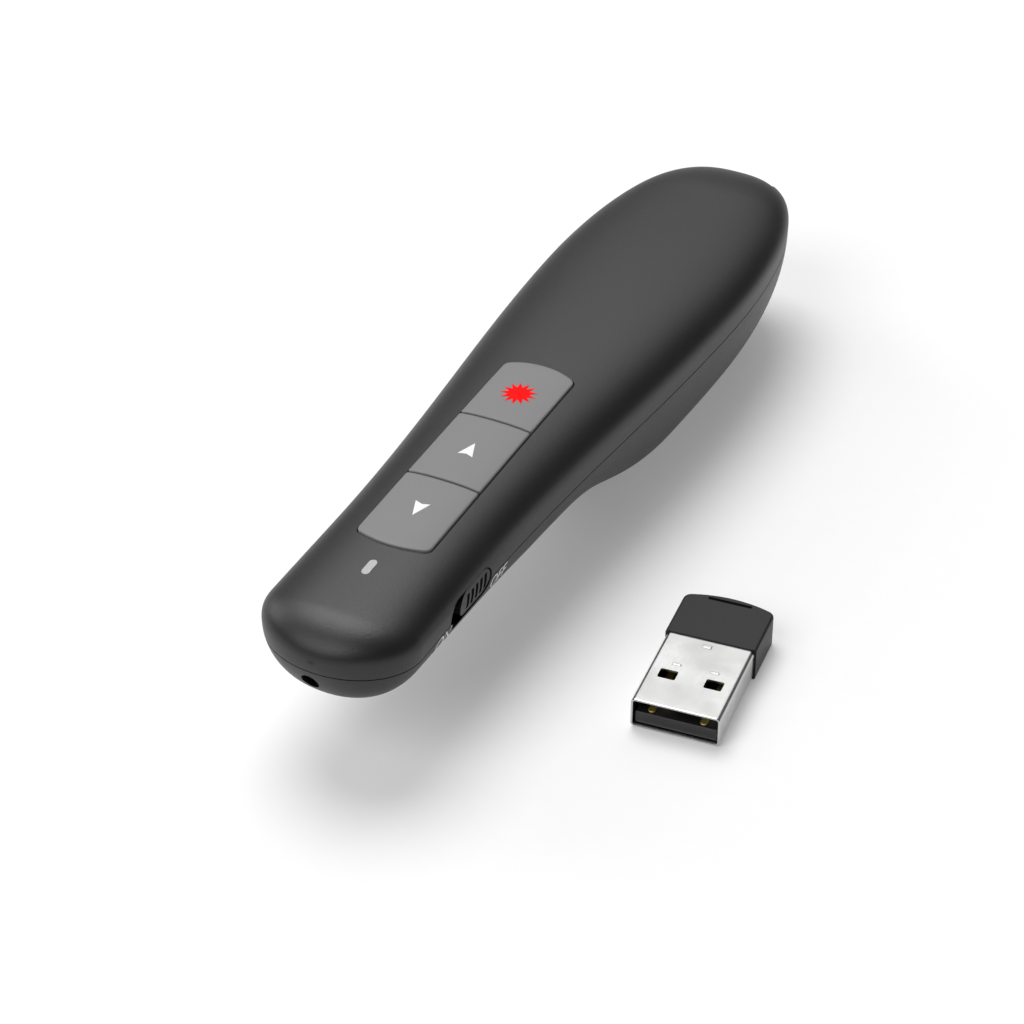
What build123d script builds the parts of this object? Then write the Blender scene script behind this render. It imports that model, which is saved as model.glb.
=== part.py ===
from build123d import *
import math
import os

# Wireless presentation clicker: a spoon-shaped handset and the USB receiver that lies beside it.
# Millimetres. +Y runs from the narrow front end to the bulb, +X is the power switch's side and
# +Z is up. The origin is on the flat of the belly that the handset rests on.

# --- handset body ---------------------------------------------------------------------------
HANDSET_LENGTH = 131.3      # front end to tail
TAIL_Y = 37.6               # the bulb's far end
NOSE_Y = TAIL_Y - HANDSET_LENGTH
NECK_HALF_WIDTH = 10.98     # the slim part that carries the keys
BULB_HALF_WIDTH = 15.32     # the widest place of the bulb
FLARE_START_Y = -70.2       # the plan outline widens from here
FLARE_END_Y = 7.7
NOSE_PLAN_ROUND = 8.5       # length of the front end's rounding, seen from above
TAIL_PLAN_ROUND = 37.85     # and of the tail's
NOSE_SIDE_ROUND = 6.25      # the same two, seen from the side
TAIL_SIDE_ROUND = 11.8
EQUATOR_Z = 18.83           # height of the widest line round the body
CREST_Z = 24.14             # highest line of the top face
CREST_Y = -31.7             # where the top face is highest
CREST_FALL = 0.00036        # how fast it falls away from there, per mm
NECK_CLEARANCE = 8.04       # height of the neck's underside above the table
NECK_RISE = 0.07            # rise of the underside towards the front end, per mm
NECK_RISE_START_Y = -54.0
UNDERSIDE_DROP_START_Y = -44.0
UNDERSIDE_DROP_END_Y = -12.3
BELLY_FLAT_DEPTH = 0.81     # how much of the round belly the rest flat takes off
TAIL_LIFT = 1.85            # rise of the underside behind the belly
TAIL_LIFT_START_Y = 6.0
TAIL_LIFT_RUN = 20.0
TOP_FULLNESS = 2.39         # superellipse exponents of the cross-section
UNDER_FULLNESS = 2.17
TAIL_FULLNESS = 2.55
WALL = 1.5
SEAM_Z = 17.1               # parting line of the two housings
SEAM_GAP_HEIGHT = 0.15      # shadow gap round the lower housing's rim
SEAM_GAP_DEPTH = 0.25
FIT = 0.12                  # play between pieces that are put together
RUNNING_GAP = 0.2           # play round everything that slides
BAY_FRONT_Y = -24.0         # the cells lie behind this line, the keys and the board in front of it
OVERSHOOT = 5.0             # how far cutting blocks reach past what they cut

# --- key strip ------------------------------------------------------------------------------
STRIP_HALF_WIDTH = 5.45
STRIP_SETBACK = 20.8        # its front corners, behind the front end
STRIP_TO_BAY = 7.2          # its rear corners, in front of the cells
STRIP_BOW = 1.3             # both ends bow out past the corners
STRIP_CORNER = 1.4
PAGE_DOWN_SHARE = 0.328     # of the strip's length; the laser key takes what is left
PAGE_UP_SHARE = 0.353
KEY_GAP = 0.15              # between a key and the housing, and half the gap between two keys
KEY_PROUD = 0.3             # height of the keys above the housing's skin
KEY_WALL = 1.2
KEY_ROOF_Z = 22.6           # inside of a key's top
KEY_SKIRT_Z = 20.7          # underside of the keys
KEY_FLANGE_THICKNESS = 0.7
KEY_FLANGE_WIDTH = 0.8
KEY_STEM_RADIUS = 1.5
KEY_TRAVEL = 0.5

# --- indicator and laser --------------------------------------------------------------------
INDICATOR_SETBACK = 14.9    # behind the front end
INDICATOR_LENGTH = 3.8
INDICATOR_WIDTH = 1.4
INDICATOR_FLANGE = 0.5
INDICATOR_FLANGE_Z = (20.2, 21.0)
LASER_X = -0.8              # the laser sits a little left of the middle
LASER_Z = 14.8
LASER_HOLE_RADIUS = 1.25
LASER_BARREL_RADIUS = 2.5
LASER_BARREL_BORE = 1.9
LASER_BARREL_LENGTH = 8.0
LASER_SETBACK = 4.0         # the barrel's mouth, behind the front end
LASER_LENS_THICKNESS = 1.2
LASER_LENS_CURVE = 4.2      # radius of both faces
LASER_CAN_RADIUS = 1.4
LASER_CAN_LENGTH = 2.6
LASER_SADDLE_WIDTH = 6.0
LASER_SADDLE_THICKNESS = 1.2
LASER_SADDLE_SETBACKS = (5.2, 10.2)

# --- power switch ---------------------------------------------------------------------------
SWITCH_SETBACK = 16.0       # the slot's front end, behind the handset's
SWITCH_LENGTH = 11.0
SWITCH_Z = 17.0
SWITCH_HEIGHT = 4.6         # the slot in the housing that the slider shows in
SLIDER_TRAVEL = 2.6
SLIDER_RECESS = 0.15        # the slider's face lies this far below the body's skin
SLIDER_PLATE_X = 7.6        # outer face of the plate behind the wall
SLIDER_PLATE_THICKNESS = 0.8
SLIDER_PLATE_MARGIN = 0.5
SLIDER_RIBS = 5
SLIDER_RIB_PITCH = 1.2
SLIDER_RIB_GROOVE = 0.55
SLIDER_RIB_DEPTH = 0.4

# --- circuit board and what stands on it ----------------------------------------------------
BOARD_TOP_Z = 16.0
BOARD_THICKNESS = 1.0
BOARD_HALF_WIDTH = 6.6
BOARD_SETBACK = 12.5        # behind the front end
BOARD_TO_BAY = 8.0
BOARD_RIB_THICKNESS = 1.0
BOARD_RIB_WIDTH = 9.0
BOARD_RIB_INSET = 2.1       # ribs under both ends of the board and under its middle
TACT_SIZE = 4.5
TACT_HEIGHT = 2.2
TACT_FLOOR = 0.4
PLUNGER_RADIUS = 1.2
PLUNGER_STAND_OUT = 0.5
SLIDE_SWITCH_LENGTH = 8.4
SLIDE_SWITCH_X = 3.0
SLIDE_SWITCH_WIDTH = 3.4
SLIDE_SWITCH_HEIGHT = 2.2
LEVER_WIDTH = 1.5
LEVER_HEIGHT = 0.9
LEVER_ROOT = 1.6            # length of the lever inside its switch
CHIP_SIZE = 4.0
CHIP_THICKNESS = 0.9
CRYSTAL_X = 4.6
CRYSTAL_SIZE = (3.2, 2.5, 0.8)
LED_SIZE = (2.0, 1.25, 0.8)

# --- batteries (two AAA cells, side by side) ------------------------------------------------
CELL_RADIUS = 5.1
CELL_LENGTH = 44.5          # with the button
CELL_BUTTON_RADIUS = 1.9
CELL_BUTTON_HEIGHT = 1.0
CELL_GAP = 0.2
CELL_PLAY = 0.12
CELL_Z = 9.65
CONTACT_THICKNESS = 0.3
CONTACT_SIZE = 6.0
SPRING_LENGTH = 2.0         # pressed together by the cell
SPRING_RADIUS = 2.6
SPRING_WIRE = 0.5
SPRING_TURNS = 2
CRADLE_WALL = 0.7
COVER_TOP_Z = 4.3           # parting plane of the battery cover
COVER_TO_BAY = 1.0          # its front edge, in front of the cells
COVER_GAP = 0.1
COVER_GRIPS = 4             # grooves for the thumb at the tail
COVER_GRIP_PITCH = 2.2
COVER_GRIP_WIDTH = 1.0
COVER_GRIP_DEPTH = 0.45
COVER_GRIP_HALF_LENGTH = 5.5
COVER_GRIP_SETBACK = 8.5    # the last groove, from the tail

# --- receiver -------------------------------------------------------------------------------
PLUG_WIDTH = 12.0           # the standard USB plug
PLUG_THICKNESS = 4.5
PLUG_SHEET = 0.3
PLUG_CORNER = 0.6
PLUG_REACH = 14.7           # shell in front of the cap
PLUG_BURIED = 3.2           # shell inside the cap
WINDOW_SIZE = (2.35, 1.8)
WINDOW_SPACING = 6.1
WINDOW_SETBACK = 6.4
TONGUE_THICKNESS = 1.9
TONGUE_SETBACK = 0.5
TONGUE_PLAY = 0.1
CONTACT_XS = (-3.5, -1.0, 1.0, 3.5)         # from the plug's middle, by its standard
CONTACT_SETBACKS = (1.4, 2.4, 2.4, 1.4)     # the outer two meet first
CONTACT_STRIP_WIDTH = 1.0
CONTACT_STRIP_THICKNESS = 0.2
CAP_WIDTH = 12.5
CAP_THICKNESS = 4.9
CAP_LENGTH = 9.5
CAP_BOW = 1.2
CAP_CORNER = 1.2
CAP_EDGE = 0.5
CAP_GROOVE_LENGTH = 6.1     # the fingernail groove near the cap's far edge
CAP_GROOVE_WIDTH = 0.55
CAP_GROOVE_DEPTH = 0.35
CAP_GROOVE_SETBACK = 1.5
RECEIVER_BOARD_THICKNESS = 0.8
RECEIVER_X = 30.9           # front left corner of the shell on the table
RECEIVER_Y = -66.8
RECEIVER_TURN = 6.2         # degrees, seen from above

# --- slot that the receiver is kept in ------------------------------------------------------
SLOT_PLAY = 0.2
SLOT_FLOOR_Z = 15.6
SLOT_END_PLAY = 0.5

# --- screws ---------------------------------------------------------------------------------
SCREW_RADIUS = 0.9
SCREW_HEAD_RADIUS = 1.7
SCREW_HEAD_HEIGHT = 1.2
SCREW_LENGTH = 5.5
SCREW_SEAT = 1.5            # thickness under the head, at the seam
BOSS_WALL = 0.9
FRONT_SCREW_X = 6.3
FRONT_SCREW_SETBACK = 8.7   # behind the front end
WAIST_SCREW_TO_BAY = 3.9

# --- places that follow from these ----------------------------------------------------------
STRIP_FRONT_Y = NOSE_Y + STRIP_SETBACK
STRIP_REAR_Y = BAY_FRONT_Y - STRIP_TO_BAY
STRIP_LENGTH = STRIP_REAR_Y - STRIP_FRONT_Y
KEY_SPLIT_FRONT_Y = STRIP_FRONT_Y + PAGE_DOWN_SHARE * STRIP_LENGTH
KEY_SPLIT_REAR_Y = KEY_SPLIT_FRONT_Y + PAGE_UP_SHARE * STRIP_LENGTH
INDICATOR_Y = NOSE_Y + INDICATOR_SETBACK
SWITCH_FRONT_Y = NOSE_Y + SWITCH_SETBACK
SWITCH_REAR_Y = SWITCH_FRONT_Y + SWITCH_LENGTH
BOARD_FRONT_Y = NOSE_Y + BOARD_SETBACK
BOARD_REAR_Y = BAY_FRONT_Y - BOARD_TO_BAY
BOARD_RIB_YS = (BOARD_FRONT_Y + BOARD_RIB_INSET, (BOARD_FRONT_Y + BOARD_REAR_Y) / 2,
                BOARD_REAR_Y - BOARD_RIB_INSET)
FRONT_SCREW_Y = NOSE_Y + FRONT_SCREW_SETBACK
WAIST_SCREW_Y = BAY_FRONT_Y - WAIST_SCREW_TO_BAY
COVER_FRONT_Y = BAY_FRONT_Y - COVER_TO_BAY
SLOT_WIDTH = CAP_WIDTH + 2 * SLOT_PLAY
SLOT_HEIGHT = CAP_THICKNESS + SLOT_PLAY
SLOT_FRONT_Y = TAIL_Y - PLUG_REACH - CAP_LENGTH - SLOT_END_PLAY
BAY_REAR_Y = BAY_FRONT_Y + CELL_LENGTH + SPRING_LENGTH
CELL_X = CELL_RADIUS + CELL_GAP / 2
FRONT_CONTACT_Y = (BAY_FRONT_Y - CONTACT_THICKNESS, BAY_FRONT_Y)
REAR_CONTACT_Y = (BAY_REAR_Y, BAY_REAR_Y + CONTACT_THICKNESS)
BODY_REACH = BULB_HALF_WIDTH + CREST_Z      # further than the body from the middle, in X and in Z


def ease(y, start, end):
    """0 before start and 1 after end, with half a cosine wave between."""
    share = min(max((y - start) / (end - start), 0.0), 1.0)
    return (1 - math.cos(math.pi * share)) / 2


def rounding(share, fullness):
    """Height of a superellipse at a share of its half length: 1 at 0 and 0 at 1."""
    share = min(max(share, 0.0), 1.0)
    return (1 - share**fullness) ** (1 / fullness)


def body_section(y, inset=0.0):
    """Half width, height above and depth below the equator at y, inset all round."""
    nose, tail = NOSE_Y + inset, TAIL_Y - inset
    nose_plan, nose_side = NOSE_PLAN_ROUND - inset, NOSE_SIDE_ROUND - inset
    tail_plan, tail_side = TAIL_PLAN_ROUND - inset, TAIL_SIDE_ROUND - inset
    half_width = NECK_HALF_WIDTH + (BULB_HALF_WIDTH - NECK_HALF_WIDTH) * ease(y, FLARE_START_Y, FLARE_END_Y)
    half_width = (half_width - inset) * rounding((nose + nose_plan - y) / nose_plan, 2)
    half_width *= rounding((y - tail + tail_plan) / tail_plan, TAIL_FULLNESS)
    drop = ease(y, UNDERSIDE_DROP_START_Y, UNDERSIDE_DROP_END_Y)
    underside = NECK_CLEARANCE * (1 - drop) - BELLY_FLAT_DEPTH * drop
    underside += NECK_RISE * max(NECK_RISE_START_Y - y, 0)
    underside += TAIL_LIFT * (max(y - TAIL_LIFT_START_Y, 0) / TAIL_LIFT_RUN) ** 2
    crest = CREST_Z - CREST_FALL * (y - CREST_Y) ** 2
    ends = rounding((nose + nose_side - y) / nose_side, 2) * rounding((y - tail + tail_side) / tail_side, 2)
    return half_width, (crest - inset - EQUATOR_Z) * ends, (EQUATOR_Z - underside - inset) * ends


def body_wire(y, inset):
    """The superellipse cross-section at y, as four Bezier quarters."""
    half_width, rise, depth = body_section(y, inset)
    quarters = []
    for side, height, fullness in ((1, rise, TOP_FULLNESS), (-1, rise, TOP_FULLNESS),
                                   (-1, -depth, UNDER_FULLNESS), (1, -depth, UNDER_FULLNESS)):
        pull = (8 * 2 ** (-1 / fullness) - 4) / 3
        corners = ((1, 0), (1, pull), (pull, 1), (0, 1))
        points = [Vector(side * half_width * a, y, EQUATOR_Z + height * b) for a, b in corners]
        quarters.append(points if side * height > 0 else points[::-1])
    return Wire([Edge.make_bezier(*points) for points in quarters])


def body_stations(inset):
    """Places of the sections: close together in the rounded ends, even between them."""
    ends = (0.0006, 0.01, 0.035, 0.08, 0.16, 0.3, 0.55)
    nose, tail = NOSE_Y + inset, TAIL_Y - inset
    front = [nose + NOSE_PLAN_ROUND * share * 1.6 for share in ends]
    rear = [tail - TAIL_SIDE_ROUND * share * 1.6 for share in ends]
    steps = 14
    middle_start, middle_end = front[-1] + 4, rear[-1] - 3
    middle = [middle_start + (middle_end - middle_start) * i / steps for i in range(steps + 1)]
    return front + middle + rear[::-1]


def body_solid(inset=0.0, flat_z=0.0):
    """The whole handset as one full solid, with the belly cut flat."""
    loft_solid = Solid.make_loft([body_wire(y, inset) for y in body_stations(inset)])
    return loft_solid & slab((flat_z, BODY_REACH))


def block(x, y, z):
    """A box given by its two ends along each axis."""
    box = Box(x[1] - x[0], y[1] - y[0], z[1] - z[0])
    return box.moved(Location(((x[0] + x[1]) / 2, (y[0] + y[1]) / 2, (z[0] + z[1]) / 2)))


def slab(z, front_y=NOSE_Y - OVERSHOOT):
    """A block wider than the body, between two heights and from front_y to behind the tail."""
    return block((-BODY_REACH, BODY_REACH), (front_y, TAIL_Y + OVERSHOOT), z)


def post(x, y, radius, z):
    """An upright cylinder between two heights."""
    return Cylinder(radius, z[1] - z[0]).moved(Location((x, y, (z[0] + z[1]) / 2)))


def rod_y(x, z, radius, y):
    """A cylinder along Y between two places."""
    return Cylinder(radius, y[1] - y[0]).moved(Location((x, (y[0] + y[1]) / 2, z), (90, 0, 0)))


def prism(face, z):
    """A flat outline in XY, pushed up between two heights."""
    return extrude(Pos(0, 0, z[0]) * face, amount=z[1] - z[0])


def only_solid(shape):
    """The largest solid of a result."""
    return max(shape.solids(), key=lambda solid: solid.volume)


def strip_outline(front_y, rear_y, margin, front_bow, rear_bow, corner):
    """Outline of a stretch of the key strip; a bowed end is an outer end of the strip."""
    half = STRIP_HALF_WIDTH - margin
    low, high = front_y + margin, rear_y - margin
    rear_edge = [ThreePointArc((half, high), (0, high + rear_bow), (-half, high))] if rear_bow else \
        [Line((half, high), (-half, high))]
    front_edge = [ThreePointArc((-half, low), (0, low - front_bow), (half, low))] if front_bow else \
        [Line((-half, low), (half, low))]
    sides = [Line((half, low), (half, high)), Line((-half, high), (-half, low))]
    outline = make_face(Curve() + [sides[0]] + rear_edge + [sides[1]] + front_edge)
    rounded = [vertex for vertex in outline.vertices()
               if (vertex.Y > rear_y - 2 and rear_bow) or (vertex.Y < front_y + 2 and front_bow)]
    return fillet(rounded, corner - margin) if rounded else outline


def stadium_x(y, z, height, x):
    """A slot with round ends, long in Y, pushed through between two X values."""
    length = y[1] - y[0]
    face = Plane.YZ * Pos((y[0] + y[1]) / 2, z) * SlotOverall(length, height)
    return extrude(Pos(x[0], 0, 0) * face, amount=x[1] - x[0])


def contact_plate(x, y, play=0.0):
    """A sheet contact, wide enough for the cells at the given X values."""
    half = CONTACT_SIZE / 2 + play
    return block((min(x) - half, max(x) + half), (y[0] - play, y[1] + play), (CELL_Z - half, CELL_Z + half))


outer = body_solid()
inner = body_solid(WALL, WALL)
shell = outer - inner
inner_play = body_solid(WALL + FIT, WALL + FIT)
parts = {}

# --- the two housings and the battery cover -------------------------------------------------
slot = block((-SLOT_WIDTH / 2, SLOT_WIDTH / 2), (SLOT_FRONT_Y, TAIL_Y + 2),
             (SLOT_FLOOR_Z, SLOT_FLOOR_Z + SLOT_HEIGHT))
slider_window = stadium_x((SWITCH_FRONT_Y, SWITCH_REAR_Y), SWITCH_Z, SWITCH_HEIGHT,
                          (SLIDER_PLATE_X, NECK_HALF_WIDTH + 2))
laser_hole = rod_y(LASER_X, LASER_Z, LASER_HOLE_RADIUS, (NOSE_Y - 1, NOSE_Y + LASER_SETBACK))
cell_room = [rod_y(side * CELL_X, CELL_Z, CELL_RADIUS + CELL_PLAY, (BAY_FRONT_Y, BAY_REAR_Y))
             for side in (-1, 1)]
contact_room = [contact_plate([side * CELL_X], FRONT_CONTACT_Y, CELL_PLAY) for side in (-1, 1)]
contact_room.append(contact_plate([-CELL_X, CELL_X], REAR_CONTACT_Y, CELL_PLAY))
screw_places = [(-FRONT_SCREW_X, FRONT_SCREW_Y), (FRONT_SCREW_X, FRONT_SCREW_Y), (0, WAIST_SCREW_Y)]
screw_seat_z = SEAM_Z - SCREW_SEAT


def screw_hole(x, y):
    """Room for one screw, driven in from below."""
    shank = post(x, y, SCREW_RADIUS + 0.05, (screw_seat_z, screw_seat_z + SCREW_LENGTH + 0.3))
    return shank + post(x, y, SCREW_HEAD_RADIUS + FIT, (-1, screw_seat_z))


def upper_housing():
    """The top shell, with the key strip's opening, the light's slot and the screw bosses."""
    boss_tops = [post(x, y, SCREW_RADIUS + BOSS_WALL, (SEAM_Z, CREST_Z)) for x, y in screw_places]
    top = (shell & slab((SEAM_Z, BODY_REACH))) + (Part() + boss_tops & outer)
    strip = strip_outline(STRIP_FRONT_Y, STRIP_REAR_Y, 0, STRIP_BOW, STRIP_BOW, STRIP_CORNER)
    top -= prism(strip, (EQUATOR_Z, CREST_Z + OVERSHOOT))
    top -= prism(indicator_outline(0.05), (EQUATOR_Z, CREST_Z + OVERSHOOT))
    return only_solid(top - slot - slider_window - [screw_hole(x, y) for x, y in screw_places])


def lower_housing():
    """The bottom shell, with a shadow gap at the seam, board ribs, laser saddles and screw bosses."""
    inside = []
    for y in BOARD_RIB_YS:
        inside.append(block((-BOARD_RIB_WIDTH / 2, BOARD_RIB_WIDTH / 2),
                            (y - BOARD_RIB_THICKNESS / 2, y + BOARD_RIB_THICKNESS / 2),
                            (0, BOARD_TOP_Z - BOARD_THICKNESS)))
    for setback in LASER_SADDLE_SETBACKS:
        inside.append(block((LASER_X - LASER_SADDLE_WIDTH / 2, LASER_X + LASER_SADDLE_WIDTH / 2),
                            (NOSE_Y + setback - LASER_SADDLE_THICKNESS / 2,
                             NOSE_Y + setback + LASER_SADDLE_THICKNESS / 2), (0, LASER_Z)))
    for x, y in screw_places:
        inside.append(post(x, y, SCREW_HEAD_RADIUS + FIT + BOSS_WALL, (0, SEAM_Z)))
    bottom = shell & slab((0, SEAM_Z))
    bottom += Part() + inside & outer
    bottom -= (outer - body_solid(SEAM_GAP_DEPTH)) & slab((SEAM_Z - SEAM_GAP_HEIGHT, SEAM_Z))
    bottom -= rod_y(LASER_X, LASER_Z, LASER_BARREL_RADIUS, (NOSE_Y + LASER_SETBACK, BOARD_FRONT_Y))
    bottom -= slab((-OVERSHOOT, COVER_TOP_Z), COVER_FRONT_Y)
    bottom -= [screw_hole(x, y) for x, y in screw_places]
    return only_solid(bottom - slot - slider_window - laser_hole - cell_room - contact_room)


def battery_cover():
    """The belly plate, which slides off towards the tail."""
    cover = shell & slab((0, COVER_TOP_Z - COVER_GAP), COVER_FRONT_Y + COVER_GAP)
    under_grips = body_solid(COVER_GRIP_DEPTH, COVER_GRIP_DEPTH)
    for number in range(COVER_GRIPS):
        y = TAIL_Y - COVER_GRIP_SETBACK - number * COVER_GRIP_PITCH
        groove = block((-COVER_GRIP_HALF_LENGTH, COVER_GRIP_HALF_LENGTH),
                       (y - COVER_GRIP_WIDTH / 2, y + COVER_GRIP_WIDTH / 2), (0, COVER_TOP_Z - WALL))
        cover -= groove - under_grips
    return only_solid(cover - cell_room - contact_room)


# --- keys, light and power slider -----------------------------------------------------------
keys = {
    "page_down_key": (STRIP_FRONT_Y, KEY_SPLIT_FRONT_Y, STRIP_BOW, 0),
    "page_up_key": (KEY_SPLIT_FRONT_Y, KEY_SPLIT_REAR_Y, 0, 0),
    "laser_key": (KEY_SPLIT_REAR_Y, STRIP_REAR_Y, 0, STRIP_BOW),
}
tact_top_z = BOARD_TOP_Z + TACT_HEIGHT
plunger_top_z = tact_top_z + PLUNGER_STAND_OUT


raised = body_solid(-KEY_PROUD)


def key_middle(name):
    front_y, rear_y = keys[name][:2]
    return (front_y + rear_y) / 2


def key_cap(name):
    """A hollow key, proud of the top face, with side flanges under the housing and a stem."""
    front_y, rear_y, front_bow, rear_bow = keys[name]
    face = strip_outline(front_y, rear_y, KEY_GAP, front_bow, rear_bow, STRIP_CORNER)
    hollow = strip_outline(front_y, rear_y, KEY_GAP + KEY_WALL, front_bow, rear_bow, STRIP_CORNER + KEY_WALL)
    cap = raised & prism(face, (KEY_SKIRT_Z, CREST_Z + OVERSHOOT))
    cap -= prism(hollow, (KEY_SKIRT_Z - 1, KEY_ROOF_Z))
    edge = STRIP_HALF_WIDTH - KEY_GAP
    for side in (-1, 1):
        ends = sorted((side * (edge - KEY_WALL), side * (edge + KEY_FLANGE_WIDTH)))
        cap += block(ends, (front_y + KEY_GAP, rear_y - KEY_GAP),
                     (KEY_SKIRT_Z, KEY_SKIRT_Z + KEY_FLANGE_THICKNESS))
    return only_solid(cap + post(0, key_middle(name), KEY_STEM_RADIUS, (plunger_top_z, KEY_ROOF_Z + 0.3)))


def indicator_outline(margin):
    slot_face = SlotOverall(INDICATOR_LENGTH + 2 * margin, INDICATOR_WIDTH + 2 * margin, rotation=90)
    return Pos(0, INDICATOR_Y) * slot_face


def light_pipe():
    """The clear pill in the top face, with a collar that holds it under the housing."""
    pipe = outer & prism(indicator_outline(0), (BOARD_TOP_Z + LED_SIZE[2] + 0.3, CREST_Z + OVERSHOOT))
    return only_solid(pipe + prism(indicator_outline(INDICATOR_FLANGE), INDICATOR_FLANGE_Z))


slider_rear_y = SWITCH_REAR_Y - RUNNING_GAP
slider_front_y = SWITCH_FRONT_Y + RUNNING_GAP + SLIDER_TRAVEL
slider_middle_y = (slider_front_y + slider_rear_y) / 2
lever_room = 0.1


def power_slider():
    """The ribbed knob in its slot and the plate behind the wall, which takes the lever."""
    skin = body_solid(SLIDER_RECESS)
    ribbed = body_solid(SLIDER_RECESS + SLIDER_RIB_DEPTH)
    knob_height = SWITCH_HEIGHT - 2 * RUNNING_GAP
    knob = skin & stadium_x((slider_front_y, slider_rear_y), SWITCH_Z, knob_height,
                            (SLIDER_PLATE_X, NECK_HALF_WIDTH + 2))
    for number in range(SLIDER_RIBS):
        y = slider_middle_y + (number - (SLIDER_RIBS - 1) / 2) * SLIDER_RIB_PITCH
        groove = block((SLIDER_PLATE_X, NECK_HALF_WIDTH + 2),
                       (y - SLIDER_RIB_GROOVE / 2, y + SLIDER_RIB_GROOVE / 2),
                       (SWITCH_Z - knob_height / 2 + 0.5, SWITCH_Z + knob_height / 2 - 0.5))
        knob -= groove - ribbed
    half_plate = SWITCH_HEIGHT / 2 + SLIDER_PLATE_MARGIN
    plate = block((SLIDER_PLATE_X - SLIDER_PLATE_THICKNESS, SLIDER_PLATE_X),
                  (slider_front_y - SLIDER_PLATE_MARGIN, slider_rear_y + SLIDER_PLATE_MARGIN),
                  (SWITCH_Z - half_plate, SWITCH_Z + half_plate))
    return only_solid(knob + plate - switch_lever(lever_room))


def switch_lever(margin=0.0):
    """The slide switch's lever, which reaches into the slider's plate."""
    root_x = SLIDE_SWITCH_X + SLIDE_SWITCH_WIDTH - LEVER_ROOT
    return block((root_x, SLIDER_PLATE_X - 0.1 + margin),
                 (slider_middle_y - LEVER_WIDTH / 2 - margin, slider_middle_y + LEVER_WIDTH / 2 + margin),
                 (SWITCH_Z - LEVER_HEIGHT / 2 - margin, SWITCH_Z + LEVER_HEIGHT / 2 + margin))


def slide_switch():
    """The switch on the board, with the slot that its lever moves in."""
    middle_y = slider_middle_y - SLIDER_TRAVEL / 2
    body = block((SLIDE_SWITCH_X, SLIDE_SWITCH_X + SLIDE_SWITCH_WIDTH),
                 (middle_y - SLIDE_SWITCH_LENGTH / 2, middle_y + SLIDE_SWITCH_LENGTH / 2),
                 (BOARD_TOP_Z, BOARD_TOP_Z + SLIDE_SWITCH_HEIGHT))
    reach = (LEVER_WIDTH + SLIDER_TRAVEL) / 2 + RUNNING_GAP
    body -= block((SLIDE_SWITCH_X + SLIDE_SWITCH_WIDTH - LEVER_ROOT - RUNNING_GAP, SLIDER_PLATE_X),
                  (middle_y - reach, middle_y + reach),
                  (SWITCH_Z - LEVER_HEIGHT / 2 - lever_room, SWITCH_Z + LEVER_HEIGHT / 2 + lever_room))
    return only_solid(body)


# --- circuit board --------------------------------------------------------------------------
chip_y = (key_middle("page_up_key") + key_middle("laser_key")) / 2


def on_board(x, y, size):
    """A component standing on the board."""
    return block((x - size[0] / 2, x + size[0] / 2), (y - size[1] / 2, y + size[1] / 2),
                 (BOARD_TOP_Z, BOARD_TOP_Z + size[2]))


def tact_switches():
    """One switch under each key, each with the bore of its plunger."""
    group = []
    for name in keys:
        body = on_board(0, key_middle(name), (TACT_SIZE, TACT_SIZE, TACT_HEIGHT))
        bore = post(0, key_middle(name), PLUNGER_RADIUS + 0.06, (BOARD_TOP_Z + TACT_FLOOR, plunger_top_z))
        group.append(only_solid(body - bore))
    return Compound(group)


def plunger(name):
    """The switch's plunger, which goes down with its key."""
    bottom_z = BOARD_TOP_Z + TACT_FLOOR + KEY_TRAVEL + 0.3
    return post(0, key_middle(name), PLUNGER_RADIUS, (bottom_z, plunger_top_z))


# --- laser ----------------------------------------------------------------------------------
barrel_y = (NOSE_Y + LASER_SETBACK + 0.1, NOSE_Y + LASER_SETBACK + 0.1 + LASER_BARREL_LENGTH)
lens_y = (barrel_y[0] + 1.0, barrel_y[0] + 1.0 + LASER_LENS_THICKNESS)


def laser_barrel():
    """A tube, wide in front for the lens and narrow behind for the diode."""
    tube = rod_y(LASER_X, LASER_Z, LASER_BARREL_RADIUS - 0.02, barrel_y)
    tube -= rod_y(LASER_X, LASER_Z, LASER_BARREL_BORE, (barrel_y[0] - 1, barrel_y[1] - LASER_CAN_LENGTH))
    return only_solid(tube - rod_y(LASER_X, LASER_Z, LASER_CAN_RADIUS, (barrel_y[0], barrel_y[1] + 1)))


def laser_lens():
    """A lens with two bulging faces, turned from its half profile."""
    radius, half = LASER_BARREL_BORE, LASER_LENS_THICKNESS / 2
    slope = math.asin(radius / LASER_LENS_CURVE)

    def on_face(share, side):
        """A point of a bulging face: 0 on the axis and 1 at the rim."""
        drop = LASER_LENS_CURVE * (1 - math.cos(share * slope))
        return (LASER_LENS_CURVE * math.sin(share * slope), side * (half - drop))

    faces = [ThreePointArc(on_face(0, side), on_face(0.5, side), on_face(1, side)) for side in (-1, 1)]
    edges = [Line(on_face(0, -1), on_face(0, 1)), Line(on_face(1, -1), on_face(1, 1))]
    lens = revolve(make_face(Curve() + faces + edges), Axis.Y)
    return only_solid(lens.moved(Location((LASER_X, (lens_y[0] + lens_y[1]) / 2, LASER_Z))))


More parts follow.
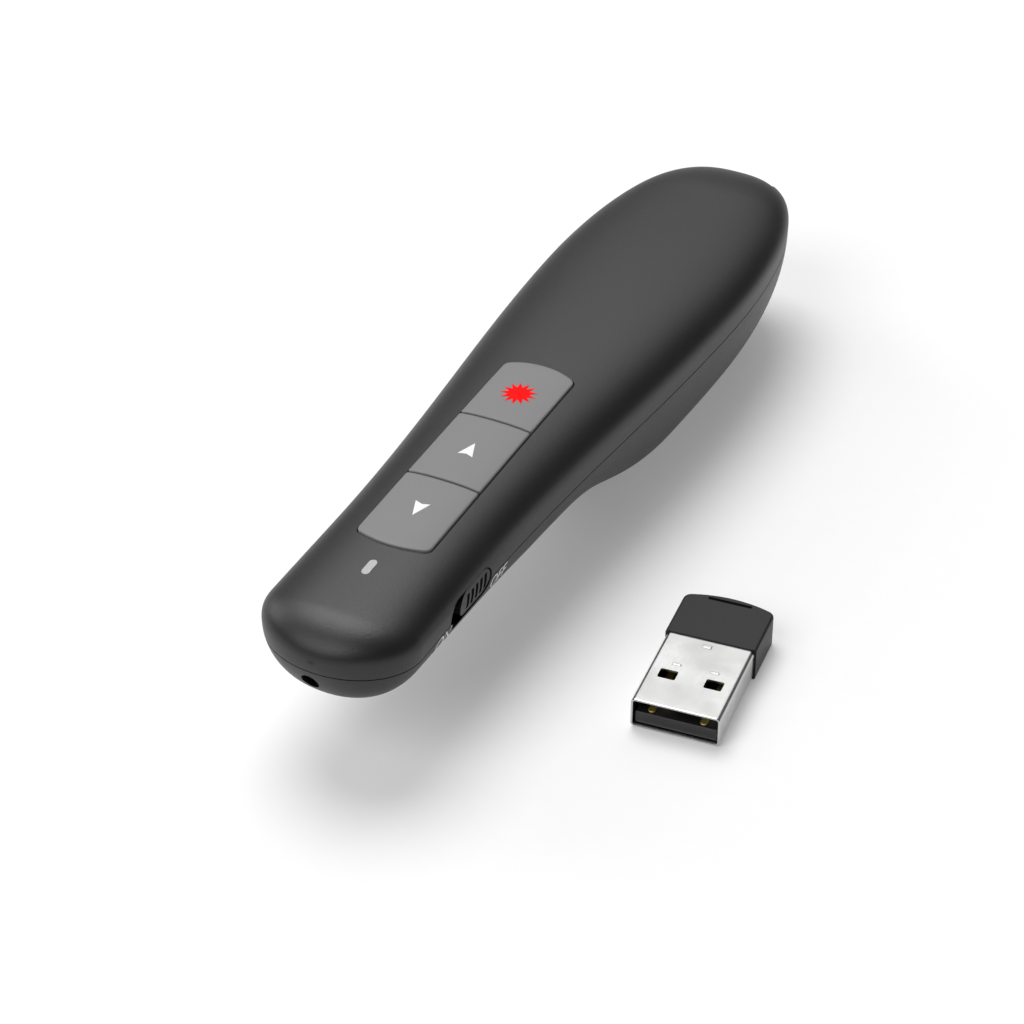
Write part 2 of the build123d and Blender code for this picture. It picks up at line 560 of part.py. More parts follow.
# --- batteries ------------------------------------------------------------------------------
def cell(side):
    """One AAA cell; the left one points its button forwards, the right one backwards."""
    front_y = BAY_FRONT_Y if side < 0 else BAY_FRONT_Y + SPRING_LENGTH
    rear_y = front_y + CELL_LENGTH
    can = (front_y + CELL_BUTTON_HEIGHT, rear_y) if side < 0 else (front_y, rear_y - CELL_BUTTON_HEIGHT)
    button = (front_y, rear_y - 1) if side < 0 else (front_y + 1, rear_y)
    body = rod_y(side * CELL_X, CELL_Z, CELL_RADIUS, can)
    body = fillet(body.edges().filter_by(GeomType.CIRCLE), 0.4)
    return only_solid(body + rod_y(side * CELL_X, CELL_Z, CELL_BUTTON_RADIUS, button))


def coil_spring(side):
    """The spring at the flat end of one cell."""
    start_y = BAY_FRONT_Y + CELL_LENGTH if side < 0 else BAY_FRONT_Y
    pitch = (SPRING_LENGTH - SPRING_WIRE - 0.1) / SPRING_TURNS
    path = Helix(pitch, pitch * SPRING_TURNS, SPRING_RADIUS)
    wire = sweep(Plane(path @ 0, z_dir=path % 0) * Circle(SPRING_WIRE / 2), path=path)
    place = Location((side * CELL_X, start_y + SPRING_WIRE / 2 + 0.05, CELL_Z), (-90, 0, 0))
    return only_solid(wire.moved(place))


def battery_frame():
    """Roof and end walls over the cells, with the receiver's slot standing on the roof."""
    front_y = BAY_FRONT_Y - CONTACT_THICKNESS - FIT
    rear_y = BAY_REAR_Y + CONTACT_THICKNESS + FIT
    roof_z = (SLOT_FLOOR_Z - CRADLE_WALL, SLOT_FLOOR_Z)
    foot_z = COVER_TOP_Z + RUNNING_GAP
    slot_half = SLOT_WIDTH / 2
    across = (-BULB_HALF_WIDTH, BULB_HALF_WIDTH)
    frame = block(across, (front_y - CRADLE_WALL, rear_y + CRADLE_WALL), roof_z)
    frame += block(across, (front_y - CRADLE_WALL, front_y), (foot_z, roof_z[1]))
    frame += block(across, (rear_y, rear_y + CRADLE_WALL), (foot_z, roof_z[1]))
    frame += block((-slot_half - CRADLE_WALL, slot_half + CRADLE_WALL),
                   (SLOT_FRONT_Y - CRADLE_WALL, TAIL_Y), (roof_z[0], SLOT_FLOOR_Z + SLOT_HEIGHT))
    return only_solid((frame - slot) & inner_play)


# --- screws ---------------------------------------------------------------------------------
def housing_screws():
    """Three screws that join the housings, driven in from below."""
    group = []
    for x, y in screw_places:
        head_z = screw_seat_z - SCREW_HEAD_HEIGHT
        screw = post(x, y, SCREW_RADIUS, (head_z, screw_seat_z + SCREW_LENGTH))
        screw += post(x, y, SCREW_HEAD_RADIUS, (head_z, screw_seat_z))
        group.append(only_solid(screw))
    return Compound(group)


# --- receiver, in its own frame: plug mouth at y 0, left side at x 0, table at z 0 -----------
plug_z = ((CAP_THICKNESS - PLUG_THICKNESS) / 2, (CAP_THICKNESS + PLUG_THICKNESS) / 2)
plug_middle = (PLUG_WIDTH / 2, (plug_z[0] + plug_z[1]) / 2)
plug_length = PLUG_REACH + PLUG_BURIED
tongue_z = (plug_z[0] + PLUG_SHEET, plug_z[0] + PLUG_SHEET + TONGUE_THICKNESS)


def plug_tube(margin, y):
    """The shell's outline, grown by a margin and pushed along Y."""
    corner = max(PLUG_CORNER + margin, 0.2)
    face = RectangleRounded(PLUG_WIDTH + 2 * margin, PLUG_THICKNESS + 2 * margin, corner)
    upright = Plane(origin=(plug_middle[0], y[0], plug_middle[1]), x_dir=(-1, 0, 0), z_dir=(0, 1, 0)) * face
    return extrude(upright, amount=y[1] - y[0])


def receiver_shell():
    """The folded sheet of the plug, with two windows on each broad side."""
    tube = plug_tube(0, (0, plug_length)) - plug_tube(-PLUG_SHEET, (-1, plug_length + 1))
    for side in (-1, 1):
        x = PLUG_WIDTH / 2 + side * WINDOW_SPACING / 2
        tube -= block((x - WINDOW_SIZE[0] / 2, x + WINDOW_SIZE[0] / 2),
                      (WINDOW_SETBACK - WINDOW_SIZE[1] / 2, WINDOW_SETBACK + WINDOW_SIZE[1] / 2),
                      (-1, CAP_THICKNESS + 1))
    return only_solid(tube)


def receiver_tongue():
    """The insulator that carries the contacts."""
    side_gap = PLUG_SHEET + TONGUE_PLAY
    return block((side_gap, PLUG_WIDTH - side_gap), (TONGUE_SETBACK, plug_length),
                 (tongue_z[0] + TONGUE_PLAY, tongue_z[1]))


def receiver_contacts():
    """Four strips on the tongue."""
    group = []
    half = CONTACT_STRIP_WIDTH / 2
    for offset, setback in zip(CONTACT_XS, CONTACT_SETBACKS):
        x = PLUG_WIDTH / 2 + offset
        group.append(block((x - half, x + half), (setback, plug_length - 1),
                           (tongue_z[1], tongue_z[1] + CONTACT_STRIP_THICKNESS)))
    return Compound([only_solid(strip) for strip in group])


def cap_outline(margin):
    """The cap seen from above: straight at the plug and bowed at its far edge."""
    low, high = PLUG_REACH + margin, PLUG_REACH + CAP_LENGTH - CAP_BOW - margin
    left, right = (PLUG_WIDTH - CAP_WIDTH) / 2 + margin, (PLUG_WIDTH + CAP_WIDTH) / 2 - margin
    edges = [Line((left, low), (right, low)), Line((right, low), (right, high)),
             ThreePointArc((right, high), (PLUG_WIDTH / 2, high + CAP_BOW), (left, high)),
             Line((left, high), (left, low))]
    outline = make_face(Curve() + edges)
    rear = [vertex for vertex in outline.vertices() if vertex.Y > high - 0.1]
    return fillet(rear, CAP_CORNER)


def receiver_cap():
    """The plastic cap: the shell's socket in front and room for the board behind it."""
    cap = prism(cap_outline(0), (0, CAP_THICKNESS))
    rim = cap.edges().filter_by_position(Axis.Z, CAP_THICKNESS, CAP_THICKNESS)
    rim += cap.edges().filter_by_position(Axis.Z, 0, 0)
    rim = [edge for edge in rim if edge.center().Y > PLUG_REACH + 0.5]
    cap = fillet(rim, CAP_EDGE)
    cap -= plug_tube(0.02, (PLUG_REACH - 1, PLUG_REACH + PLUG_BURIED + 0.05))
    cap -= block((2, PLUG_WIDTH - 2), (PLUG_REACH, PLUG_REACH + CAP_LENGTH - 1.8),
                 (1.2, CAP_THICKNESS - 1.2))
    groove = SlotOverall(CAP_GROOVE_LENGTH, CAP_GROOVE_WIDTH)
    groove_y = PLUG_REACH + CAP_LENGTH - CAP_GROOVE_SETBACK
    groove_z = (CAP_THICKNESS - CAP_GROOVE_DEPTH, CAP_THICKNESS + 1)
    cap -= prism(Pos(PLUG_WIDTH / 2, groove_y) * groove, groove_z)
    return only_solid(cap)


def receiver_board():
    """The little circuit board behind the tongue."""
    return block((2.3, PLUG_WIDTH - 2.3), (plug_length + 0.1, PLUG_REACH + CAP_LENGTH - 2.1),
                 (1.5, 1.5 + RECEIVER_BOARD_THICKNESS))


def receiver_chip():
    top_z = 1.5 + RECEIVER_BOARD_THICKNESS
    middle_y = (plug_length + PLUG_REACH + CAP_LENGTH - 2) / 2
    return block((PLUG_WIDTH / 2 - 1.5, PLUG_WIDTH / 2 + 1.5), (middle_y - 1.5, middle_y + 1.5),
                 (top_z, top_z + 0.8))


receiver_place = Location((RECEIVER_X, RECEIVER_Y, 0), (0, 0, RECEIVER_TURN))

# --- every piece, by name -------------------------------------------------------------------
parts["upper_housing"] = upper_housing()
parts["lower_housing"] = lower_housing()
parts["battery_cover"] = battery_cover()
for key_name in keys:
    parts[key_name] = key_cap(key_name)
    parts[key_name + "_plunger"] = plunger(key_name)
parts["light_pipe"] = light_pipe()
parts["indicator_led"] = on_board(0, INDICATOR_Y, LED_SIZE)
parts["power_slider"] = power_slider()
parts["slide_switch"] = slide_switch()
parts["switch_lever"] = switch_lever()
parts["circuit_board"] = block((-BOARD_HALF_WIDTH, BOARD_HALF_WIDTH), (BOARD_FRONT_Y, BOARD_REAR_Y),
                               (BOARD_TOP_Z - BOARD_THICKNESS, BOARD_TOP_Z))
parts["tact_switches"] = tact_switches()
parts["radio_chip"] = on_board(0, chip_y, (CHIP_SIZE, CHIP_SIZE, CHIP_THICKNESS))
parts["crystal"] = on_board(CRYSTAL_X, chip_y, CRYSTAL_SIZE)
parts["laser_barrel"] = laser_barrel()
parts["laser_lens"] = laser_lens()
parts["laser_diode"] = rod_y(LASER_X, LASER_Z, LASER_CAN_RADIUS - 0.02,
                             (barrel_y[1] - LASER_CAN_LENGTH, barrel_y[1]))
parts["battery_left"] = cell(-1)
parts["battery_right"] = cell(1)
parts["battery_contacts"] = Compound([only_solid(contact_plate([side * CELL_X], FRONT_CONTACT_Y))
                                      for side in (-1, 1)])
parts["series_contact"] = contact_plate([-CELL_X, CELL_X], REAR_CONTACT_Y)
parts["battery_springs"] = Compound([coil_spring(side) for side in (-1, 1)])
parts["battery_frame"] = battery_frame()
parts["housing_screws"] = housing_screws()
for receiver_name, make in (("receiver_shell", receiver_shell), ("receiver_cap", receiver_cap),
                            ("receiver_tongue", receiver_tongue), ("receiver_contacts", receiver_contacts),
                            ("receiver_board", receiver_board), ("receiver_chip", receiver_chip)):
    parts[receiver_name] = make().moved(receiver_place)

os.makedirs("parts", exist_ok=True)
for name, shape in parts.items():
    export_step(shape, f"parts/{name}.step")
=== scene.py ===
# %% [markdown]
# # A presentation clicker, dressed for its portrait
#
# The clicker is a spoon-shaped handset of matte black plastic with three grey keys, and a small
# USB receiver that lies beside it. A CAD model already gives every piece its size and place.
# Here the pieces that are seen get smooth surfaces, printed marks and real finishes. The CAD
# model is loaded first, and nothing below moves it: new pieces are worked out from the same
# sizes, so they land where the CAD says.

# %% Load the CAD model
import math

import bpy
import numpy as np
from mathutils import Matrix


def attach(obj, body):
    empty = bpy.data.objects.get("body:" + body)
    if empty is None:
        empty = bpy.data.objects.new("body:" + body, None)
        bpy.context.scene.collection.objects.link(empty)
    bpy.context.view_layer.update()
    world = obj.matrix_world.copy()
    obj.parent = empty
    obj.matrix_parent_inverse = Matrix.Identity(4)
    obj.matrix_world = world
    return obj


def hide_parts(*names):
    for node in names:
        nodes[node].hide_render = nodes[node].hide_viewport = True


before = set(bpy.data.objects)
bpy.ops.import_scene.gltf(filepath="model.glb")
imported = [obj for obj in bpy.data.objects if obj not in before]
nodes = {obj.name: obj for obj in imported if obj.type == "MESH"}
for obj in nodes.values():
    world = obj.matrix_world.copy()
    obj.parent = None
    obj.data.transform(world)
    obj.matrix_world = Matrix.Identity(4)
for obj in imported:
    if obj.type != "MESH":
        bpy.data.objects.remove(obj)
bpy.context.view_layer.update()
MM = 0.001

# %% [markdown]
# ## Camera
#
# The handset is seen from above its front right corner with a long lens, so that it hardly
# tapers. The camera could aim at an empty with a Track To constraint, but plain angles are
# easier to read and nothing has to follow anything.

# %% Camera
CAMERA_PLACE = (150.95, -334.82, 252.49)
CAMERA_DIP, CAMERA_HEADING = 36.637, 27.087     # degrees below the level, and round from +Y
lens_data = bpy.data.cameras.new("portrait_lens")
lens_data.lens, lens_data.sensor_width = 105.5, 36.0
camera = bpy.data.objects.new("portrait_camera", lens_data)
bpy.context.scene.collection.objects.link(camera)
camera.location = np.array(CAMERA_PLACE) * MM
camera.rotation_euler = (math.radians(90 - CAMERA_DIP), 0, math.radians(CAMERA_HEADING))
bpy.context.scene.camera = camera
print("camera at", tuple(round(v, 3) for v in camera.location))

# %% [markdown]
# ## The form of the handset
#
# The real body is two moulded shells that meet just under the widest line. Its form can be
# written down: seen from above the half width swells from neck to bulb on half a cosine wave,
# and every cross-section is a superellipse, which is a rounded box between an ellipse and a
# rectangle. Sculpting or a subdivision cage could give a similar shape, but with the formula the
# shells, the keys and the prints on them all agree to a hundredth of a millimetre.

# %% Sizes of the handset, in millimetres
TAIL_Y = 37.6
NOSE_Y = TAIL_Y - 131.3
NECK_HALF_WIDTH, BULB_HALF_WIDTH = 10.98, 15.32
FLARE = (-70.2, 7.7)                    # where the neck starts to widen, and where it stops
NOSE_PLAN_ROUND, TAIL_PLAN_ROUND = 8.5, 37.85
NOSE_SIDE_ROUND, TAIL_SIDE_ROUND = 6.25, 11.8
EQUATOR_Z = 18.83                       # height of the widest line
CREST_Z, CREST_Y, CREST_FALL = 24.14, -31.7, 0.00036
NECK_CLEARANCE, NECK_RISE, NECK_RISE_START_Y = 8.04, 0.07, -54.0
UNDERSIDE_DROP = (-44.0, -12.3)
BELLY_FLAT_DEPTH = 0.81
TAIL_LIFT, TAIL_LIFT_START_Y, TAIL_LIFT_RUN = 1.85, 6.0, 20.0
TOP_FULLNESS, UNDER_FULLNESS, TAIL_FULLNESS = 2.39, 2.17, 2.55
WALL = 1.5
SEAM_Z = 17.1                           # where the two shells meet
BEYOND = 45.0                           # cutting blocks reach this far, outside everything
WIDE, LONG = (-BEYOND, BEYOND), (-120, 60)


# %% The body's formula
def ease(y, start, end):
    """0 before start, 1 after end, and half a cosine wave between."""
    share = np.clip((y - start) / (end - start), 0, 1)
    return (1 - np.cos(np.pi * share)) / 2


def rounding(share, fullness):
    """Height of a superellipse at a share of its half length: 1 in the middle, 0 at the end."""
    return (1 - np.clip(share, 0, 1) ** fullness) ** (1 / fullness)


def section(y, inset=0.0):
    """Half width, height above and depth below the widest line at y, all inset by a distance.

    The half width goes from neck to bulb with ease() and closes at both ends with rounding().
    The height is a parabola that falls away from the crest. The depth comes from the underside,
    which drops from the raised neck to the belly and lifts again towards the tail.
    """
    nose, tail = NOSE_Y + inset, TAIL_Y - inset
    width = NECK_HALF_WIDTH + (BULB_HALF_WIDTH - NECK_HALF_WIDTH) * ease(y, *FLARE) - inset
    width = width * rounding((nose + NOSE_PLAN_ROUND - inset - y) / (NOSE_PLAN_ROUND - inset), 2)
    width = width * rounding((y - tail + TAIL_PLAN_ROUND - inset) / (TAIL_PLAN_ROUND - inset),
                             TAIL_FULLNESS)
    drop = ease(y, *UNDERSIDE_DROP)
    underside = NECK_CLEARANCE * (1 - drop) - BELLY_FLAT_DEPTH * drop
    underside = underside + NECK_RISE * np.maximum(NECK_RISE_START_Y - y, 0)
    underside = underside + TAIL_LIFT * (np.maximum(y - TAIL_LIFT_START_Y, 0) / TAIL_LIFT_RUN) ** 2
    crest = CREST_Z - CREST_FALL * (y - CREST_Y) ** 2
    ends = rounding((nose + NOSE_SIDE_ROUND - inset - y) / (NOSE_SIDE_ROUND - inset), 2)
    ends = ends * rounding((y - tail + TAIL_SIDE_ROUND - inset) / (TAIL_SIDE_ROUND - inset), 2)
    return width, (crest - inset - EQUATOR_Z) * ends, (EQUATOR_Z - underside - inset) * ends


def skin_height(x, y, inset=0.0):
    """Height of the top face over (x, y): the upper half of the superellipse, solved for z."""
    width, rise, _ = section(y, inset)
    return EQUATOR_Z + rise * rounding(np.abs(x) / width, TOP_FULLNESS)


print("widest", round(2 * float(section(np.array(7.7))[0]), 2), "mm, crest", CREST_Z, "mm")


# %% [markdown]
# ## From arrays to meshes
#
# Every new piece is a grid of points that numpy works out as whole arrays. Blender takes such
# arrays directly with foreach_set, which is far quicker than adding vertices one by one, and
# the faces of a grid follow one simple rule that numpy can write as well.

# %% Mesh helpers
def mesh_object(name, points, quads, triangles=()):
    """An object from points in millimetres and the corner numbers of its faces."""
    quads = np.asarray(quads, int).reshape(-1, 4)
    triangles = np.asarray(triangles, int).reshape(-1, 3)
    starts = np.concatenate([np.arange(len(quads)) * 4,
                             len(quads) * 4 + np.arange(len(triangles)) * 3])
    mesh = bpy.data.meshes.new(name)
    mesh.vertices.add(len(points))
    mesh.vertices.foreach_set("co", (np.asarray(points, float) * MM).ravel())
    mesh.loops.add(quads.size + triangles.size)
    mesh.loops.foreach_set("vertex_index", np.concatenate([quads.ravel(), triangles.ravel()]))
    mesh.polygons.add(len(starts))
    mesh.polygons.foreach_set("loop_start", starts)
    mesh.update(calc_edges=True)
    mesh.validate()
    piece = bpy.data.objects.new(name, mesh)
    bpy.context.scene.collection.objects.link(piece)
    return piece


def ring_quads(rings, around, first=0):
    """Faces between rings of points; each ring closes on itself."""
    ring, place = np.meshgrid(np.arange(rings - 1), np.arange(around), indexing="ij")
    after = (place + 1) % around
    low, high = first + ring * around, first + (ring + 1) * around
    return np.stack([low + place, low + after, high + after, high + place], -1).reshape(-1, 4)


def capped_rings(name, rings, poles=None):
    """A closed piece from rings of points, shape (rings, around, 3), with a fan on both ends.

    The rings run so that their faces point outwards: counterclockwise, seen against the
    direction in which ring follows ring.
    """
    count, around, _ = rings.shape
    if poles is None:
        poles = np.stack([rings[0].mean(0), rings[-1].mean(0)])
    points = np.concatenate([rings.reshape(-1, 3), poles])
    place = np.arange(around)
    after = (place + 1) % around
    bottom, top = count * around, count * around + 1
    last = (count - 1) * around
    fans = np.concatenate([np.stack([after, place, np.full(around, bottom)], -1),
                           np.stack([last + place, last + after, np.full(around, top)], -1)])
    return mesh_object(name, points, ring_quads(count, around), fans)


def smooth(piece):
    """Shades a piece smooth, but for its edges sharper than 30 degrees."""
    piece.data.polygons.foreach_set("use_smooth", np.ones(len(piece.data.polygons), bool))
    piece.data.set_sharp_from_angle(angle=math.radians(30))
    return piece


def hand_over(piece, body, node):
    """Fixes a finished piece to its body, in place of its CAD node if it has one."""
    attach(piece, body)
    if node:
        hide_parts(node)
    print(piece.name, len(piece.data.polygons), "faces")
    return piece


# %% [markdown]
# ## Carving
#
# Openings are cut as they would be in CAD: a closed tool is taken away from a closed piece with
# a Boolean. Blender has several solvers, and the exact one copes with faces that touch. Its
# modifiers could stay live, but once they are applied the cut mesh can be given its own normals.

# %% Boolean helpers
def carve(piece, tools, operation="DIFFERENCE"):
    """Applies one Boolean per tool to the piece and removes the tools."""
    for tool in tools:
        cut = piece.modifiers.new("cut", "BOOLEAN")
        cut.object, cut.operation, cut.solver = tool, operation, "EXACT"
    bpy.context.view_layer.update()
    finished = piece.evaluated_get(bpy.context.evaluated_depsgraph_get())
    mesh = bpy.data.meshes.new_from_object(finished)
    piece.modifiers.clear()
    old, piece.data = piece.data, mesh
    mesh.name = piece.name
    bpy.data.meshes.remove(old)
    for tool in tools:
        bpy.data.objects.remove(tool)
    return piece


# %% Tools for cutting
def block(x, y, z):
    """A box given by its two ends along each axis."""
    corners = np.array([[x[i], y[j], z[k]] for k in (0, 1) for j, i in ((0, 0), (0, 1), (1, 1), (1, 0))])
    sides = [[0, 1, 5, 4], [1, 2, 6, 5], [2, 3, 7, 6], [3, 0, 4, 7], [3, 2, 1, 0], [4, 5, 6, 7]]
    return mesh_object("tool", corners, sides)


def about(place, half):
    """The two ends of a stretch that lies evenly about a place."""
    return place - half, place + half


def prism(outline, z):
    """A flat outline, shape (n, 2), counterclockwise from above, pushed up between two heights."""
    rings = np.stack([np.column_stack([outline, np.full(len(outline), height)]) for height in z])
    return capped_rings("tool", rings)


def rod(start, end, radius, around=48):
    """A round tool between two points: circles across the line from start to end."""
    start, end = np.asarray(start, float), np.asarray(end, float)
    along = (end - start) / np.linalg.norm(end - start)
    side = np.cross(along, [0.3, 0.5, 0.9])
    side /= np.linalg.norm(side)
    turn = np.linspace(0, 2 * np.pi, around, endpoint=False)[:, None]
    circle = radius * (np.cos(turn) * side + np.sin(turn) * np.cross(along, side))
    return capped_rings("tool", np.stack([start + circle, end + circle]))


# %% [markdown]
# ## Skins
#
# One function gives the whole skin of the body at any inset: the outside at 0, and the inside
# of the wall at 1.5 mm. The grid runs round the section and along the body, and it is finer in
# the rounded ends, where the stations follow a cosine so that the poles close smoothly.

# %% The skin as a closed surface
def stations(inset, end_count, middle_count):
    """Places of the sections: spaced by a cosine in both rounded ends and evenly between."""
    nose, tail = NOSE_Y + inset, TAIL_Y - inset
    turn = np.linspace(0, np.pi / 2, end_count)
    front = nose + (NOSE_PLAN_ROUND - inset) * (1 - np.cos(turn))
    rear = tail - (TAIL_SIDE_ROUND - inset) * (1 - np.cos(turn[::-1]))
    return np.concatenate([front[1:], np.linspace(front[-1], rear[0], middle_count)[1:-1], rear[:-1]])


def skin(inset=0.0, around=160, end_count=26, middle_count=110):
    """The body's closed surface: x = width * cos^(2/n), z = height * sin^(2/n) round each section."""
    y = stations(inset, end_count, middle_count)[:, None]
    turn = np.linspace(0, 2 * np.pi, around, endpoint=False)[None, :]
    width, rise, depth = section(y, inset)
    up = np.sin(turn) >= 0
    power = 2 / np.where(up, TOP_FULLNESS, UNDER_FULLNESS)
    x = width * np.sign(np.cos(turn)) * np.abs(np.cos(turn)) ** power
    z = EQUATOR_Z + np.where(up, rise, depth) * np.sign(np.sin(turn)) * np.abs(np.sin(turn)) ** power
    rings = np.stack([x, np.broadcast_to(y, x.shape), z], -1)[:, ::-1]
    poles = np.array([[0, NOSE_Y + inset, EQUATOR_Z], [0, TAIL_Y - inset, EQUATOR_Z]])
    return capped_rings("skin", rings, poles)


print(len(stations(0.0, 26, 110)), "sections along the body")


# %% [markdown]
# ## True normals
#
# A Boolean leaves long thin faces along every cut, and ordinary smooth shading shows them as
# smears on a large calm surface. Where a face lies on the skin, its corners can be given the
# skin's own normal instead. It is the gradient of the superellipse formula, so the shading is
# that of the ideal surface however the faces run. A Data Transfer modifier could copy normals
# from an uncut skin, but the formula is exact and needs no second object.

# %% Normals from the formula
def skin_gap(points, inset):
    """Distance from the skin, and the skin's outward normal, by central differences.

    The form is ((|x| / width)^n + (|z - middle| / height)^n)^(1/n) - 1, which is 0 on the skin.
    """
    def form(p):
        width, rise, depth = section(p[:, 1], inset)
        up = p[:, 2] >= EQUATOR_Z
        n = np.where(up, TOP_FULLNESS, UNDER_FULLNESS)
        across = np.abs(p[:, 0]) / np.maximum(width, 1e-6)
        height = np.abs(p[:, 2] - EQUATOR_Z) / np.maximum(np.where(up, rise, depth), 1e-6)
        return (across ** n + height ** n) ** (1 / n) - 1

    step = 1e-3
    gradient = np.stack([(form(points + step * axis) - form(points - step * axis)) / (2 * step)
                         for axis in np.eye(3)], -1)
    steep = np.maximum(np.linalg.norm(gradient, axis=1), 1e-9)
    return form(points) / steep, gradient / steep[:, None]


def read(collection, attribute, width=1, kind=float):
    """A whole attribute of a mesh as an array."""
    values = np.zeros(len(collection) * width, kind)
    collection.foreach_get(attribute, values)
    return values.reshape(-1, width) if width > 1 else values


def true_normals(piece, skins):
    """Gives corners on the named skins (inset, side) the skin's normal, and the rest their face's."""
    mesh = piece.data
    points = read(mesh.vertices, "co", 3) / MM
    corner = read(mesh.loops, "vertex_index", kind=int)
    starts = read(mesh.polygons, "loop_start", kind=int)
    totals = read(mesh.polygons, "loop_total", kind=int)
    face_normal = np.repeat(read(mesh.polygons, "normal", 3), totals, axis=0)
    normals = face_normal.copy()
    level = np.abs(face_normal[:, 2]) > 0.99999             # the parting planes stay flat
    for inset, side in skins:
        gap, outward = skin_gap(points, inset)
        outward = side * outward[corner]
        aligned = (outward * face_normal).sum(1) > 0.8
        near = (np.abs(gap[corner]) < 0.04) & aligned & ~level
        whole = np.repeat(np.logical_and.reduceat(near, starts), totals)
        normals[whole] = outward[whole]
    mesh.polygons.foreach_set("use_smooth", np.ones(len(totals), bool))
    mesh.normals_split_custom_set(normals)
    return piece


print("the crest lies", float(skin_gap(np.array([[0, CREST_Y, CREST_Z]]), 0.0)[0][0]), "mm off the skin")

# %% [markdown]
# ## The two housings and the battery cover
#
# The real shells are injection moulded with a wall of about 1.5 mm, and the belly plate slides
# off towards the tail to let the batteries in. All three are cut from one hollow body, as in
# the CAD, so that the parting lines close. The openings are the key strip's, the light's pill,
# the power slider's slot, the laser's hole in front, the screw holes below and the slot in the
# tail where the receiver is kept.

# %% Sizes of the openings
STRIP_FRONT_Y, STRIP_REAR_Y = NOSE_Y + 20.8, -31.2
STRIP_LENGTH = STRIP_REAR_Y - STRIP_FRONT_Y
STRIP_HALF_WIDTH, STRIP_BOW, STRIP_CORNER = 5.45, 1.3, 1.4
INDICATOR_Y, INDICATOR_LENGTH, INDICATOR_WIDTH = NOSE_Y + 14.9, 3.0, 1.1
SWITCH_FRONT_Y = NOSE_Y + 16.0
SWITCH_REAR_Y = SWITCH_FRONT_Y + 11.0
SWITCH_Z, SWITCH_HEIGHT = 17.6, 4.5
SLIDER_PLATE_X, SLIDER_REACH_X = 7.6, 14.0      # the slot's tools run between these, through the wall
LASER_X, LASER_Z, LASER_HOLE_RADIUS, LASER_BARREL_RADIUS = -0.8, 14.8, 1.25, 2.5
LASER_BARREL_Y = (NOSE_Y + 4.0, NOSE_Y + 12.5)
SLOT_HALF_WIDTH, SLOT_FRONT_Y, SLOT_Z = 6.45, 12.9, (15.6, 20.7)
SCREWS = [(-6.3, NOSE_Y + 8.7), (6.3, NOSE_Y + 8.7), (0.0, -27.9)]
SCREW_SEAT_Z, SCREW_LENGTH = SEAM_Z - 1.5, 5.8
SHANK_RADIUS, HEAD_RADIUS, BOSS_RADIUS, POST_RADIUS = 0.95, 1.82, 1.8, 2.72
COVER_TOP_Z, COVER_FRONT_Y = 4.3, -25.0
SEAM_GAP = (0.15, 0.25)                 # shadow gap under the seam: height and depth
CELL_X, CELL_Z, CELL_Y, CELL_ROOM = 5.2, 9.65, (-24.0, 22.5), 5.22
CONTACT_HALF, CONTACT_PLAY = 3.12, 0.12
BOARD_RIBS, BOARD_BOTTOM_Z = (-79.1, -56.6, -34.1), 15
LASER_SADDLES = (NOSE_Y + 5.2, NOSE_Y + 10.2)
COVER_GRIPS, GRIP_DEPTH = TAIL_Y - 8.5 - 2.2 * np.arange(4), 0.45
print("key strip", round(STRIP_LENGTH, 1), "mm, slider's slot", SWITCH_REAR_Y - SWITCH_FRONT_Y, "mm")


# %% Outlines of the openings
def rounded_end(half, high, bow, radius, count=9):
    """The rear end of a strip, from its right side to its left: corner, arc, corner.

    The arc passes through both corners and stands proud by the bow. Each corner circle touches
    the straight side and the arc, so its middle is one radius inside both.
    """
    if bow > 0:
        big = (half ** 2 + bow ** 2) / (2 * bow)
        middle_y = high + bow - big
        corner_y = middle_y + math.sqrt((big - radius) ** 2 - (half - radius) ** 2)
        meet = math.atan2(corner_y - middle_y, half - radius)
    else:
        corner_y, meet = high - radius, math.pi / 2
    turn = np.linspace(0, meet, count)
    corner = np.column_stack([half - radius + radius * np.cos(turn), corner_y + radius * np.sin(turn)])
    if bow > 0:
        turn = np.linspace(meet, np.pi - meet, 2 * count)[1:-1]
        arc = np.column_stack([big * np.cos(turn), middle_y + big * np.sin(turn)])
    else:
        arc = np.column_stack([np.linspace(half - radius, radius - half, 2 * count)[1:-1],
                               np.full(2 * count - 2, float(high))])
    return np.concatenate([corner, arc, (corner * [-1, 1])[::-1]])


def straight(start, end, count):
    """Points spread evenly on a straight line, without its two ends."""
    return start + (end - start) * np.linspace(0, 1, count)[1:-1, None]


def strip_outline(front_y, rear_y, margin, front_bow, rear_bow, front_corner, rear_corner):
    """A stretch of the key strip, counterclockwise from above, with points along its sides."""
    half = STRIP_HALF_WIDTH - margin
    rear = rounded_end(half, rear_y - margin, rear_bow, rear_corner)
    front = -rounded_end(half, -(front_y + margin), front_bow, front_corner)
    return np.concatenate([straight(front[-1], rear[0], 16), rear, straight(rear[-1], front[0], 16), front])


def pill(middle, length, width, count=20):
    """A slot with round ends, long in the second direction, counterclockwise."""
    turn = np.linspace(0, np.pi, count)
    cap = np.column_stack([np.cos(turn), np.sin(turn)]) * width / 2 + [0, (length - width) / 2]
    return np.concatenate([cap, -cap]) + middle


def side_pill(front_y, rear_y, height, x):
    """The power slider's slot: a pill in the side view, pushed through the wall along X."""
    outline = pill(((SWITCH_Z, (front_y + rear_y) / 2)), rear_y - front_y, height)
    rings = np.stack([np.column_stack([np.full(len(outline), place), outline[:, 1], outline[:, 0]])
                      for place in x])[:, ::-1]
    return capped_rings("tool", rings)


strip = strip_outline(STRIP_FRONT_Y, STRIP_REAR_Y, 0, STRIP_BOW, STRIP_BOW, STRIP_CORNER, STRIP_CORNER)
print(len(strip), "points round the key strip")


